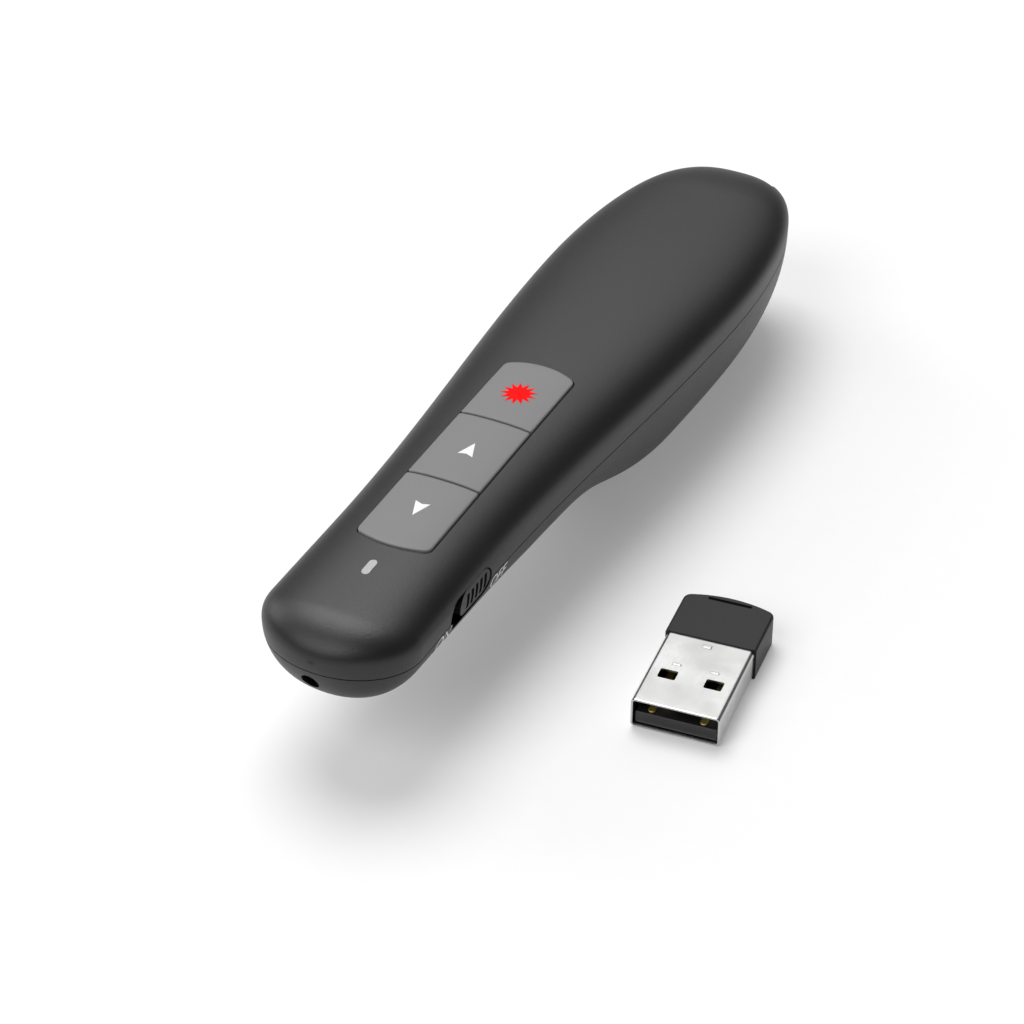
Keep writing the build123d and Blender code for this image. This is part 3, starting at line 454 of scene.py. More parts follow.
# %% Tools for the shells
def screw_rods(low_z, high_z, radius, around):
    """An upright rod at each screw's place."""
    return [rod((x, y, low_z), (x, y, high_z), radius, around) for x, y in SCREWS]


def screw_tools():
    """Room for each screw: its shank, and its head's way in from below."""
    return (screw_rods(SCREW_SEAT_Z - 1, SCREW_SEAT_Z + SCREW_LENGTH, SHANK_RADIUS, 32)
            + screw_rods(-3, SCREW_SEAT_Z, HEAD_RADIUS, 40))


def openings():
    """The receiver's slot and the slider's slot, which both shells share."""
    return [block((-SLOT_HALF_WIDTH, SLOT_HALF_WIDTH), (SLOT_FRONT_Y, BEYOND), SLOT_Z),
            side_pill(SWITCH_FRONT_Y, SWITCH_REAR_Y, SWITCH_HEIGHT, (SLIDER_PLATE_X, SLIDER_REACH_X))]


def copy_of(piece, name):
    """A second object with its own copy of the mesh."""
    twin = bpy.data.objects.new(name, piece.data.copy())
    bpy.context.scene.collection.objects.link(twin)
    return twin


def merged(pieces):
    """One tool from several closed ones that don't touch each other."""
    with bpy.context.temp_override(active_object=pieces[0], selected_editable_objects=pieces):
        bpy.ops.object.join()
    return pieces[0]


def within_wall(pieces):
    """Ribs and bosses, trimmed half way into the wall so that they never show outside."""
    return carve(merged(pieces), [skin(WALL / 2, 96, 16, 90)], "INTERSECT")


def cell_room():
    """Room for both cells and for their sheet contacts."""
    (front, rear), half, play = CELL_Y, CONTACT_HALF, CONTACT_PLAY
    height = about(CELL_Z, half)
    contacts = [block(about(x, half), (front - 0.3 - play, front + play), height) for x in (-CELL_X, CELL_X)]
    contacts.append(block((-CELL_X - half, CELL_X + half), (rear - play, rear + 0.3 + play), height))
    return contacts + [rod((x, front, CELL_Z), (x, rear, CELL_Z), CELL_ROOM, 64) for x in (-CELL_X, CELL_X)]


def hand_over_shell(piece, body, node):
    """Gives both faces of a moulded wall their true normals, and hands the piece over."""
    hand_over(true_normals(piece, ((0.0, 1), (WALL, -1))), body, node)


hollow_body = carve(skin(), [skin(WALL, 96, 16, 60)])
print("hollow body", len(hollow_body.data.polygons), "faces")

# %% The upper shell
upper_shell = copy_of(hollow_body, "upper_shell")
carve(upper_shell, [within_wall(screw_rods(SEAM_Z - 1, 30, BOSS_RADIUS, 40))], "UNION")
carve(upper_shell, [block(WIDE, LONG, (SEAM_Z, BEYOND))], "INTERSECT")
light_slot = pill((0, INDICATOR_Y), INDICATOR_LENGTH + 0.1, INDICATOR_WIDTH + 0.1)
carve(upper_shell, [prism(strip, (EQUATOR_Z, 30)), prism(light_slot, (EQUATOR_Z, 30))]
      + openings() + screw_tools())
hand_over_shell(upper_shell, "handset", "upper_housing")

# %% The lower shell
lower_shell = carve(copy_of(hollow_body, "lower_shell"), [block(WIDE, LONG, (0, SEAM_Z))], "INTERSECT")
inside = [block((-4.5, 4.5), about(y, 0.5), (0, BOARD_BOTTOM_Z)) for y in BOARD_RIBS]
inside += [block(about(LASER_X, 3), about(y, 0.6), (0, LASER_Z)) for y in LASER_SADDLES]
inside += screw_rods(0, SEAM_Z, POST_RADIUS, 48)
carve(lower_shell, [within_wall(inside)], "UNION")
shadow_gap = carve(block(WIDE, LONG, (SEAM_Z - SEAM_GAP[0], SEAM_Z + 1)), [skin(SEAM_GAP[1])])
laser_places = [(LASER_X, y, LASER_Z) for y in (NOSE_Y - 1, *LASER_BARREL_Y)]
laser_hole = rod(*laser_places[:2], LASER_HOLE_RADIUS, 48)
laser_bore = rod(*laser_places[1:], LASER_BARREL_RADIUS, 48)
carve(lower_shell, [block(WIDE, (COVER_FRONT_Y, 60), (-3, COVER_TOP_Z)), shadow_gap, laser_hole, laser_bore]
      + openings() + screw_tools() + cell_room())
hand_over_shell(lower_shell, "handset", "lower_housing")

# %% The battery cover
COVER_GAP = 0.1
cover_plate = carve(copy_of(hollow_body, "cover_plate"),
                    [block(WIDE, (COVER_FRONT_Y + COVER_GAP, 60), (0, COVER_TOP_Z - COVER_GAP))], "INTERSECT")
grips = [block((-5.5, 5.5), about(y, 0.5), (-1, COVER_TOP_Z - WALL)) for y in COVER_GRIPS]
carve(cover_plate, [carve(merged(grips), [skin(GRIP_DEPTH)])] + cell_room())
hand_over_shell(cover_plate, "battery_cover", "battery_cover")
bpy.data.objects.remove(hollow_body)


# %% [markdown]
# ## Keys
#
# The three keys fill one strip and stand 0.3 mm proud of the housing, so each top is a patch of
# the body's skin, grown by that much, with its rim rolled over. Rings of points follow the key's
# outline: up the side, round the rim on a quarter circle, and then shrinking to the middle while
# their height is read from the skin's formula. A Bevel modifier would round the rim as well, but
# not to an even width on a crowned top.

# %% Sizes of the keys
KEY_GAP, KEY_PROUD, KEY_SKIRT_Z, KEY_RIM = 0.15, 0.3, 20.7, 0.22
KEY_WALL, KEY_ROOF_Z = 1.2, 22.6
FLANGE_REACH, FLANGE_HEIGHT = 0.8, 0.7          # the flanges stop the keys under the housing
STEM_RADIUS, STEM_BOTTOM_Z = 1.5, 18.72         # the stems end just above the switches' plungers
KEY_SPLIT_FRONT_Y = STRIP_FRONT_Y + 0.328 * STRIP_LENGTH
KEY_SPLIT_REAR_Y = KEY_SPLIT_FRONT_Y + 0.353 * STRIP_LENGTH
KEYS = {
    "page_down_key": (STRIP_FRONT_Y, KEY_SPLIT_FRONT_Y, STRIP_BOW, 0),
    "page_up_key": (KEY_SPLIT_FRONT_Y, KEY_SPLIT_REAR_Y, 0, 0),
    "laser_key": (KEY_SPLIT_REAR_Y, STRIP_REAR_Y, 0, STRIP_BOW),
}
print({name: round(ends[1] - ends[0], 1) for name, ends in KEYS.items()}, "mm long")


# %% Blocks with a crowned top
def outward_of(outline):
    """Unit normals of a counterclockwise outline, from the chord between both neighbours."""
    chord = np.roll(outline, -1, 0) - np.roll(outline, 1, 0)
    normal = np.column_stack([chord[:, 1], -chord[:, 0]])
    return normal / np.linalg.norm(normal, axis=1)[:, None]


def crowned(name, outline, top, bottom_z, rim, steps=14):
    """A closed block with the outline's sides, a rolled rim and a top whose height is top(x, y).

    The rim is a quarter circle: inwards by rim * (1 - cos a) and down by rim * (1 - sin a).
    """
    normal = outward_of(outline)
    rings = [np.column_stack([outline, np.full(len(outline), bottom_z)])]
    for a in np.linspace(0, np.pi / 2, 6):
        ring = outline - normal * rim * (1 - math.cos(a))
        rings.append(np.column_stack([ring, top(ring[:, 0], ring[:, 1]) - rim * (1 - math.sin(a))]))
    middle = ring.mean(0)
    for share in np.linspace(1, 0, steps)[1:-1]:
        shrunk = middle + (ring - middle) * share
        rings.append(np.column_stack([shrunk, top(shrunk[:, 0], shrunk[:, 1])]))
    poles = np.array([[*middle, bottom_z], [*middle, float(top(middle[:1], middle[1:])[0])]])
    return capped_rings(name, np.stack(rings), poles)


def key_height(x, y):
    """Height of a key's top: the skin, grown by what the keys stand proud."""
    return skin_height(x, y, -KEY_PROUD)


def key_outline(ends, margin):
    """Outline of one key; only a bowed end has the strip's round corners."""
    front_y, rear_y, front_bow, rear_bow = ends
    corners = [STRIP_CORNER - margin if bow else 0.3 for bow in (front_bow, rear_bow)]
    return strip_outline(front_y, rear_y, margin, front_bow, rear_bow, *corners)


# %% Key tops
def key_piece(name, ends):
    """A crowned cap, hollow from below, with a flange on both sides and a stem in its middle."""
    front_y, rear_y = ends[:2]
    cap = crowned(name + "_top", key_outline(ends, KEY_GAP), key_height, KEY_SKIRT_Z, KEY_RIM)
    edge = STRIP_HALF_WIDTH - KEY_GAP
    carve(cap, [block((KEY_GAP + KEY_WALL - STRIP_HALF_WIDTH, edge - KEY_WALL),
                      (front_y + KEY_GAP + KEY_WALL, rear_y - KEY_GAP - KEY_WALL),
                      (KEY_SKIRT_Z - 1, KEY_ROOF_Z))])
    flanges = [block(sorted((side * (edge - 1), side * (edge + FLANGE_REACH))),
                     (front_y + KEY_GAP, rear_y - KEY_GAP),
                     (KEY_SKIRT_Z, KEY_SKIRT_Z + FLANGE_HEIGHT)) for side in (-1, 1)]
    stem = rod(*((0, (front_y + rear_y) / 2, z) for z in (STEM_BOTTOM_Z, KEY_ROOF_Z + 0.3)), STEM_RADIUS, 40)
    return smooth(carve(cap, flanges + [stem], "UNION"))


key_tops = {name: hand_over(key_piece(name, ends), name, name) for name, ends in KEYS.items()}


# %% [markdown]
# ## Printed marks on the keys
#
# The laser key carries a red burst, the other two a white arrowhead each. On the real keys they
# are pad printed, a film of ink a few hundredths of a millimetre thick. A texture could show
# them, but a thin plate that follows the crowned key stays sharp at any distance. Each mark is
# a fan of rings: an outline round a middle point, shrunk step by step, with its height read
# from the skin's formula.

# %% Print a mark on a key
INK = 0.03


def printed_mark(name, outline, middle, key, steps=7):
    """A film of ink: rings of the outline shrinking to the middle, on a sunken copy of its rim."""
    middle = np.asarray(middle, float)
    points = key_height(outline[:, 0], outline[:, 1])
    rings = [np.column_stack([outline, points - INK])]
    for share in np.linspace(1, 0, steps)[:-1]:
        shrunk = middle + (outline - middle) * share
        rings.append(np.column_stack([shrunk, key_height(shrunk[:, 0], shrunk[:, 1]) + INK]))
    height = float(key_height(middle[:1], middle[1:])[0])
    poles = np.array([[*middle, height - INK], [*middle, height + INK]])
    return hand_over(smooth(capped_rings(name, np.stack(rings), poles)), key, None)


def filled_in(corners, count=8):
    """A closed outline with points spread along each straight side."""
    corners = np.asarray(corners, float)
    share = np.linspace(0, 1, count, endpoint=False)[None, :, None]
    return (corners[:, None] * (1 - share) + np.roll(corners, -1, 0)[:, None] * share).reshape(-1, 2)


# %% The burst and the arrowheads
SPIKES, SPIKE_TIP, SPIKE_FOOT, BURST_MIDDLE = 13, 2.55, 1.45, (-0.05, -37.6)
turn = math.radians(27) + np.arange(2 * SPIKES) * np.pi / SPIKES
reach = np.where(np.arange(2 * SPIKES) % 2, SPIKE_FOOT, SPIKE_TIP)
burst = filled_in(np.column_stack([np.cos(turn), np.sin(turn)]) * reach[:, None] + BURST_MIDDLE, 4)
laser_burst = printed_mark("laser_burst", burst, BURST_MIDDLE, "laser_key")

ARROW = np.array([[0.0, 1.45], [-1.08, -1.45], [0.0, -1.1], [1.08, -1.45]])
ARROW_HUB = 0.55                                # the fan's middle, this far behind the arrow's
UP_PLACE, DOWN_PLACE = np.array([0.05, -51.85]), np.array([0.02, -66.15])
up_arrow = printed_mark("up_arrow", filled_in(ARROW + UP_PLACE), UP_PLACE - [0, ARROW_HUB], "page_up_key")
down_arrow = printed_mark("down_arrow", filled_in(-ARROW + DOWN_PLACE), DOWN_PLACE + [0, ARROW_HUB],
                          "page_down_key")


# %% [markdown]
# ## Power slider and light
#
# The slider is a knob in a pill-shaped slot in the side wall, with five grooves for the thumb.
# Both the knob and the light's clear pill are a slice of the body's own skin, so they are
# flush with the wall. The bottoms of the grooves are a skin as well, inset a little further.

# %% The power slider
SLIDER_PLAY, SLIDER_TRAVEL, SLIDER_RECESS = 0.2, 2.6, 0.15
PLATE_THICKNESS, PLATE_MARGIN = 0.8, 0.5        # the plate behind the wall that holds the knob in
RIB_COUNT, RIB_DEPTH, RIB_PITCH, RIB_GROOVE, RIB_SHIFT = 5, 0.5, 1.17, 0.68, 0.4
SLIDER_FRONT_Y = SWITCH_FRONT_Y + SLIDER_PLAY + SLIDER_TRAVEL
SLIDER_REAR_Y = SWITCH_REAR_Y - SLIDER_PLAY
knob_height = SWITCH_HEIGHT - 2 * SLIDER_PLAY
groove_z = about(SWITCH_Z, knob_height / 2 - 0.85)
slider_knob = carve(skin(SLIDER_RECESS), [side_pill(SLIDER_FRONT_Y, SLIDER_REAR_Y, knob_height,
                                                    (SLIDER_PLATE_X - 0.2, SLIDER_REACH_X))], "INTERSECT")
slider_knob.name = "slider_knob"
ribs_middle = (SLIDER_FRONT_Y + SLIDER_REAR_Y) / 2 + RIB_SHIFT
for y in ribs_middle + RIB_PITCH * (np.arange(RIB_COUNT) - RIB_COUNT // 2):
    groove = block((SLIDER_PLATE_X, SLIDER_REACH_X), about(y, RIB_GROOVE / 2), groove_z)
    carve(slider_knob, [carve(groove, [skin(SLIDER_RECESS + RIB_DEPTH, 96, 16, 90)])])
plate = block((SLIDER_PLATE_X - PLATE_THICKNESS, SLIDER_PLATE_X),
              (SLIDER_FRONT_Y - PLATE_MARGIN, SLIDER_REAR_Y + PLATE_MARGIN),
              (SWITCH_Z - SWITCH_HEIGHT / 2 - PLATE_MARGIN, SWITCH_Z + SWITCH_HEIGHT / 2 + PLATE_MARGIN))
carve(slider_knob, [plate], "UNION")
true_normals(slider_knob, ((SLIDER_RECESS, 1), (SLIDER_RECESS + RIB_DEPTH, 1)))
hand_over(slider_knob, "power_slider", "power_slider")

# %% The light's pill
LIGHT_BOTTOM_Z, COLLAR, COLLAR_Z = 17.1, 1, (20.2, 21.0)
light_middle = (0, INDICATOR_Y)
light_prism = prism(pill(light_middle, INDICATOR_LENGTH, INDICATOR_WIDTH), (LIGHT_BOTTOM_Z, 30))
light_pill = carve(skin(), [light_prism], "INTERSECT")
light_pill.name = "light_pill"
collar = pill(light_middle, INDICATOR_LENGTH + COLLAR, INDICATOR_WIDTH + COLLAR)
carve(light_pill, [prism(collar, COLLAR_Z)], "UNION")
true_normals(light_pill, ((0.0, 1),))
hand_over(light_pill, "handset", "light_pipe")


# %% [markdown]
# ## ON and OFF
#
# Two small words beside the slot tell which way is which. Blender's text object draws them, and
# they become a mesh before their place is applied. Each point is then laid on the wall: its
# height picks a place on the cross-section, where the superellipse gives the distance from the
# middle.

# %% Words beside the slider
def side_reach(y, z):
    """Distance of the wall from the middle at (y, z): the lower superellipse, solved for x."""
    width, _, depth = section(y)
    return width * rounding((EQUATOR_Z - z) / depth, UNDER_FULLNESS)


def side_word(name, text, front_y, length, low_z, height):
    """A word on the wall, read from the right, as a film of ink that follows the surface."""
    curve = bpy.data.curves.new(name, "FONT")
    curve.body = text
    letters = bpy.data.objects.new(name, curve)
    bpy.context.scene.collection.objects.link(letters)
    bpy.context.view_layer.update()
    mesh = bpy.data.meshes.new_from_object(letters.evaluated_get(bpy.context.evaluated_depsgraph_get()))
    bpy.data.objects.remove(letters)
    word = bpy.data.objects.new(name, mesh)
    bpy.context.scene.collection.objects.link(word)
    flat = read(mesh.vertices, "co", 3)
    low, high = flat.min(0), flat.max(0)
    flat = (flat - low) / np.maximum(high - low, 1e-9)
    y = front_y + length * flat[:, 0]
    z = low_z + height * flat[:, 1]
    mesh.vertices.foreach_set("co", (np.column_stack([side_reach(y, z) + 0.05, y, z]) * MM).ravel())
    film = word.modifiers.new("film", "SOLIDIFY")
    film.thickness, film.offset = 2 * INK * MM, -1
    return hand_over(word, "handset", None)


LETTER_HEIGHT = 2.1
on_word = side_word("on_word", "ON", -81.0, 3.8, 14.8, LETTER_HEIGHT)
off_word = side_word("off_word", "OFF", -66.4, 4.1, 14.7, LETTER_HEIGHT)


# %% [markdown]
# ## Receiver
#
# The receiver is a plug of folded sheet steel with a plastic cap. The plug's shell is a rounded
# rectangle carried round a closed path: along the outside, over the thin lip, and back along
# the inside. The cap, the tongue in the plug and the contact strips are blocks with rolled
# rims, made by the same function as the keys. Everything is made straight and then turned into
# its place beside the handset.

# %% Place of the receiver
PLUG_WIDTH, PLUG_THICKNESS, PLUG_SHEET, PLUG_CORNER = 12.0, 4.5, 0.3, 0.6
PLUG_REACH, PLUG_LENGTH = 14.7, 17.9            # in front of the cap, and with what it hides
CAP_WIDTH, CAP_THICKNESS, CAP_LENGTH = 12.5, 4.9, 9.5
PLUG_X, PLUG_BOTTOM = PLUG_WIDTH / 2, (CAP_THICKNESS - PLUG_THICKNESS) / 2
PLUG_TOP = PLUG_BOTTOM + PLUG_THICKNESS
RECEIVER_CORNER, RECEIVER_TURN = (30.9, -66.8, 0), math.radians(6.2)
receiver_place = (Matrix.Translation(np.array(RECEIVER_CORNER) * MM)
                  @ Matrix.Rotation(RECEIVER_TURN, 4, "Z"))


def lay_receiver(piece, node):
    """Turns a finished piece into its place and lets it stand for its CAD node."""
    piece.data.transform(receiver_place)
    return hand_over(smooth(piece), "receiver", node)


print("receiver", PLUG_REACH + CAP_LENGTH, "mm long")



# %% The plug's shell
def rounded_rectangle(width, height, corner, count=8):
    """Four quarter circles, counterclockwise; points close beside each keep the flats flat."""
    turn = np.linspace(0, np.pi / 2, count)
    arc = np.column_stack([np.cos(turn), np.sin(turn)]) * corner
    points = []
    for quarter, (sx, sy) in enumerate(((1, 1), (-1, 1), (-1, -1), (1, -1))):
        middle = np.array([sx * (width / 2 - corner), sy * (height / 2 - corner)])
        c, s = round(math.cos(quarter * math.pi / 2)), round(math.sin(quarter * math.pi / 2))
        swung = arc @ np.array([[c, s], [-s, c]])
        before, after = swung[0] + [s * 0.12, -c * 0.12], swung[-1] + [-c * 0.12, -s * 0.12]
        points += [middle + before, *(middle + swung), middle + after]
    return np.array(points)


def folded_sheet(name, width, height, length, lip=0.1):
    """The plug's sheet: a path of (y, inset) goes round the lip and back, and carries the section.

    The front lip is half a circle, from the inside outwards. Then the path runs along the outside,
    over the rear edge, and forwards again along the inside, where the section is smaller.
    """
    path = [(lip * (1 - math.sin(a)), PLUG_SHEET * (1 + math.cos(a)) / 2) for a in np.linspace(0, np.pi, 7)]
    path += [(lip + 0.15, 0.0), (length, 0.0), (length, PLUG_SHEET), (lip + 0.15, PLUG_SHEET)]
    rings = []
    for place, inset in path:
        ring = rounded_rectangle(width - 2 * inset, height - 2 * inset, max(PLUG_CORNER - inset, 0.15))
        rings.append(np.column_stack([ring[:, 0], np.full(len(ring), place), ring[:, 1]])[::-1])
    around = len(rings[0])
    quads = ring_quads(len(path) + 1, around)
    total = len(path) * around
    return mesh_object(name, np.concatenate(rings), np.where(quads >= total, quads - total, quads))


WINDOW, WINDOW_CORNER, WINDOW_X, WINDOW_Y = (2.4, 1.85), 0.25, 3.12, 6.3
plug_shell = folded_sheet("plug_shell", PLUG_WIDTH, PLUG_THICKNESS, PLUG_LENGTH)
plug_shell.data.transform(Matrix.Translation(np.array([PLUG_X, 0, PLUG_BOTTOM + PLUG_THICKNESS / 2]) * MM))
window = rounded_rectangle(*WINDOW, WINDOW_CORNER, 5)
carve(plug_shell, [prism(window + [PLUG_X + side * WINDOW_X, WINDOW_Y], (-2, 8)) for side in (-1, 1)])
lay_receiver(plug_shell, "receiver_shell")


# %% Tabs pressed out of the plug's sheet
TAB_WIDTH, TAB_HEIGHT = 1.2, 0.09
TABS = ((3.35, 8.6, 0.45), (8.5, 8.65, 0.45), (5.95, 13.45, 0.75))      # x, y and length of each


def tab_height(x, y):
    """The tabs' tops are level, a little above the sheet."""
    return np.full(np.shape(x), PLUG_TOP + TAB_HEIGHT)


plug_tabs = []
for number, (x, y, length) in enumerate(TABS, 1):
    outline = rounded_rectangle(TAB_WIDTH, length, 0.12, 4) + [x, y]
    tab = crowned(f"plug_tab_{number}", outline, tab_height, PLUG_TOP - 0.1, TAB_HEIGHT, 4)
    plug_tabs.append(lay_receiver(tab, None))


# %% Blocks with rolled rims
def pillow(name, outline, z, rim):
    """A closed block with both rims rolled: rings in, round, up, round and in again.

    Each rim is a quarter circle: inwards by rim * (1 - sin a), and up by rim * (1 - cos a).
    """
    normal = outward_of(outline)
    middle = outline.mean(0)
    rims = [(rim * (1 - math.sin(a)), z[0] + rim * (1 - math.cos(a))) for a in np.linspace(0, np.pi / 2, 6)]
    rims += [(inset, z[0] + z[1] - height) for inset, height in rims[::-1]]
    stack = [np.column_stack([outline - normal * inset, np.full(len(outline), height)])
             for inset, height in rims]
    flats = []                                  # a ring just inside each rim keeps the flats flat
    for index in (0, -1):
        inner = middle + (stack[index][:, :2] - middle) * 0.97
        flats.append(np.column_stack([inner, np.full(len(inner), z[index])]))
    return capped_rings(name, np.stack([flats[0], *stack, flats[1]]))


# %% The cap
CAP_BOW, CAP_CORNER, CAP_FRONT_CORNER, CAP_RIM = 1.2, 1.2, 0.6, 0.35
CAP_LEAD = 1.6                                  # the cap is made longer in front and then cut flat
CAP_REAR_Y = PLUG_REACH + CAP_LENGTH
GROOVE_LENGTH, GROOVE_WIDTH, GROOVE_DEPTH = 6.1, 0.55, 0.35


def cap_outline():
    """The cap from above: straight at the plug, bowed at the far edge with rounded corners."""
    half, low = CAP_WIDTH / 2, PLUG_REACH - CAP_LEAD
    rear = rounded_end(half, CAP_REAR_Y - CAP_BOW, CAP_BOW, CAP_CORNER, 10)
    turn = np.linspace(math.pi, 1.5 * math.pi, 7)
    corner = np.column_stack([CAP_FRONT_CORNER - half + CAP_FRONT_CORNER * np.cos(turn),
                              low + CAP_FRONT_CORNER + CAP_FRONT_CORNER * np.sin(turn)])
    left, right = corner, (corner * [-1, 1])[::-1]
    return np.concatenate([straight(right[-1], rear[0], 10), rear, straight(rear[-1], left[0], 10),
                           left, straight(left[-1], right[0], 10), right]) + [PLUG_X, 0]


cap_body = pillow("cap_body", cap_outline(), (0.0, CAP_THICKNESS), CAP_RIM)
socket = rounded_rectangle(PLUG_WIDTH + 0.04, PLUG_THICKNESS + 0.04, PLUG_CORNER + 0.02)
socket_rings = [np.column_stack([socket[:, 0] + PLUG_X, np.full(len(socket), y),
                                 socket[:, 1] + CAP_THICKNESS / 2])[::-1]
                for y in (PLUG_REACH - 1, PLUG_LENGTH + 0.05)]
board_room = block((2, 10), (PLUG_REACH, CAP_REAR_Y - 1.8), (1.2, CAP_THICKNESS - 1.2))
groove = pill((0, 0), GROOVE_LENGTH, GROOVE_WIDTH)[:, ::-1] * [1, -1] + [PLUG_X, CAP_REAR_Y - 1.1]
carve(cap_body, [block((-1, 13), (PLUG_REACH - 3, PLUG_REACH), (-1, 7))])
carve(cap_body, [capped_rings("tool", np.stack(socket_rings)), board_room,
                 prism(groove, (CAP_THICKNESS - GROOVE_DEPTH, CAP_THICKNESS + 1))])
lay_receiver(cap_body, "receiver_cap")

# %% Tongue and contact strips
TONGUE_SETBACK, TONGUE_Z = 0.5, (0.1, 1.9)      # behind the mouth, and above the sheet
STRIPS = ((-3.5, 0.85), (-1.0, 2.4), (1.0, 2.4), (3.5, 0.85))           # x and front end of each
STRIP_WIDTH, STRIP_THICKNESS = 1.0, 0.2
tongue_bottom, tongue_top = (PLUG_BOTTOM + PLUG_SHEET + z for z in TONGUE_Z)
tongue_length = PLUG_LENGTH - TONGUE_SETBACK
tongue = rounded_rectangle(PLUG_WIDTH - 0.8, tongue_length, 0.2, 5)
tongue = tongue + [PLUG_X, TONGUE_SETBACK + tongue_length / 2]
plug_tongue = pillow("plug_tongue", tongue, (tongue_bottom, tongue_top), 0.16)
lay_receiver(plug_tongue, "receiver_tongue")
contact_strips = []
for number, (offset, front_y) in enumerate(STRIPS, 1):
    length = PLUG_LENGTH - 1 - front_y
    outline = pill((PLUG_X + offset, front_y + length / 2), length, STRIP_WIDTH, 12)
    heights = (tongue_top - 0.02, tongue_top + STRIP_THICKNESS)
    contact = pillow(f"contact_strip_{number}", outline, heights, 0.08)
    contact_strips.append(lay_receiver(contact, "receiver_contacts"))


# %% [markdown]
# ## Shader arithmetic
#
# Procedural finishes are sums and products of noises. Laid out as nodes they are hard to read,
# so one small class wraps a node's socket and turns Python's own operators into Math nodes.
# Any other node comes from a single method.

# %% Values and shaders
def operator(operation, swapped=False):
    """An operator method that adds one Math node; swapped is for 1 - value and its like."""
    def apply(self, other):
        pair = (other, self) if swapped else (self, other)
        return self.shader.math(operation, *pair)
    return apply


class Value:
    """One output socket of a shader's node, with arithmetic."""

    def __init__(self, shader, socket):
        self.shader, self.socket = shader, socket

    __add__ = __radd__ = operator("ADD")
    __mul__ = __rmul__ = operator("MULTIPLY")
    __sub__, __rsub__ = operator("SUBTRACT"), operator("SUBTRACT", swapped=True)

    def between(self, low, high):
        """0 below low, 1 above high, and a smooth rise between."""
        return self.shader.node("ShaderNodeMapRange", {"interpolation_type": "SMOOTHSTEP"},
                                {"Value": self, "From Min": low, "From Max": high})


class Shader:
    """A material around one Principled node; keyword values go straight to its sockets."""

    def __init__(self, name, **constants):
        self.material = bpy.data.materials.new(name)
        self.material.use_nodes = True
        self.tree = self.material.node_tree
        self.surface = self.tree.nodes["Principled BSDF"]
        for socket, value in constants.items():
            self.surface.inputs[socket.replace("_", " ")].default_value = value

    def node(self, kind, settings=None, inputs=None, output=0):
        """Adds a node of a kind: its settings first, then the values or links of its sockets."""
        made = self.tree.nodes.new(kind)
        for setting, value in (settings or {}).items():
            setattr(made, setting, value)
        for socket, value in (inputs or {}).items():
            self.put(made.inputs[socket], value)
        return Value(self, made.outputs[output])

    def put(self, socket, value):
        """Links a Value to a socket, or writes a plain number or colour there."""
        if isinstance(value, Value):
            self.tree.links.new(value.socket, socket)
        else:
            socket.default_value = value

    def math(self, operation, *values):
        """One Math node on numbers or Values."""
        return self.node("ShaderNodeMath", {"operation": operation}, dict(enumerate(values)))

    def drive(self, **values):
        """Links values that change over the surface to the Principled node."""
        for socket, value in values.items():
            self.put(self.surface.inputs[socket.replace("_", " ")], value)

    def place(self, scale=(1, 1, 1), turn=0.0):
        """Object coordinates, turned about Z and stretched."""
        here = self.node("ShaderNodeTexCoord", output="Object")
        return self.node("ShaderNodeMapping", inputs={"Vector": here, "Scale": scale,
                                                      "Rotation": (0, 0, turn)})

    def noise(self, scale, detail=2.0, place=None, rough=0.5):
        """Perlin noise that swings about 0.5, with so many features to the metre."""
        return self.node("ShaderNodeTexNoise", inputs={"Scale": scale, "Detail": detail, "Roughness": rough,
                                                       "Vector": place or self.place()})

    def blend(self, share, first, second):
        """A colour between two colours."""
        return self.node("ShaderNodeMix", {"data_type": "RGBA"}, {0: share, 6: first, 7: second}, 2)

    def bump(self, height, distance):
        """Relief: the height times a distance in metres tilts the normal."""
        self.drive(Normal=self.node("ShaderNodeBump", inputs={"Height": height, "Distance": distance}))


def grey(level):
    """A grey of that linear level."""
    return (level, level, level, 1.0)


def cover(shader, *pieces):
    """Puts the finish on pieces, in the objects' own slots, so that no mesh changes."""
    for piece in pieces:
        if not piece.material_slots:
            piece.data.materials.append(None)
        for place in piece.material_slots:
            place.link = "OBJECT"
            place.material = shader.material


# %% [markdown]
# ## Moulded plastics
#
# The handset's black plastic comes out of a spark-eroded mould: the surface is covered with
# pits a quarter of a millimetre wide, which spread every highlight into a soft grey sheen. The
# base colour is nearly black, so almost all that is seen is that sheen. A fine noise feeds a
# Bump node, and a slow noise changes the roughness a little, because handling polishes it
# unevenly. The keys are the same kind of plastic, coloured grey and with a finer grain.

# %% Black and grey plastics
def moulded(name, level, roughness, grain, depth, sheen=0.5, mottle=0.1):
    """Textured plastic of a grey level: a fine noise is its relief, and a slow one mottles it.

    The colour goes from level * (1 - mottle) to level * (1 + mottle) with the slow noise. The
    roughness swings with both noises. Grain is in features to the metre, and depth in metres.
    """
    shader = Shader(name, Specular_IOR_Level=sheen)
    fine = shader.noise(grain, 3.0, rough=0.6)
    slow = shader.noise(55.0)
    shader.drive(Base_Color=shader.blend(slow.between(0.3, 0.7), grey(level * (1 - mottle)),
                                         grey(level * (1 + mottle))),
                 Roughness=roughness + (slow - 0.5) * 0.08 + (fine - 0.5) * 0.12)
    shader.bump(fine, depth)
    return shader


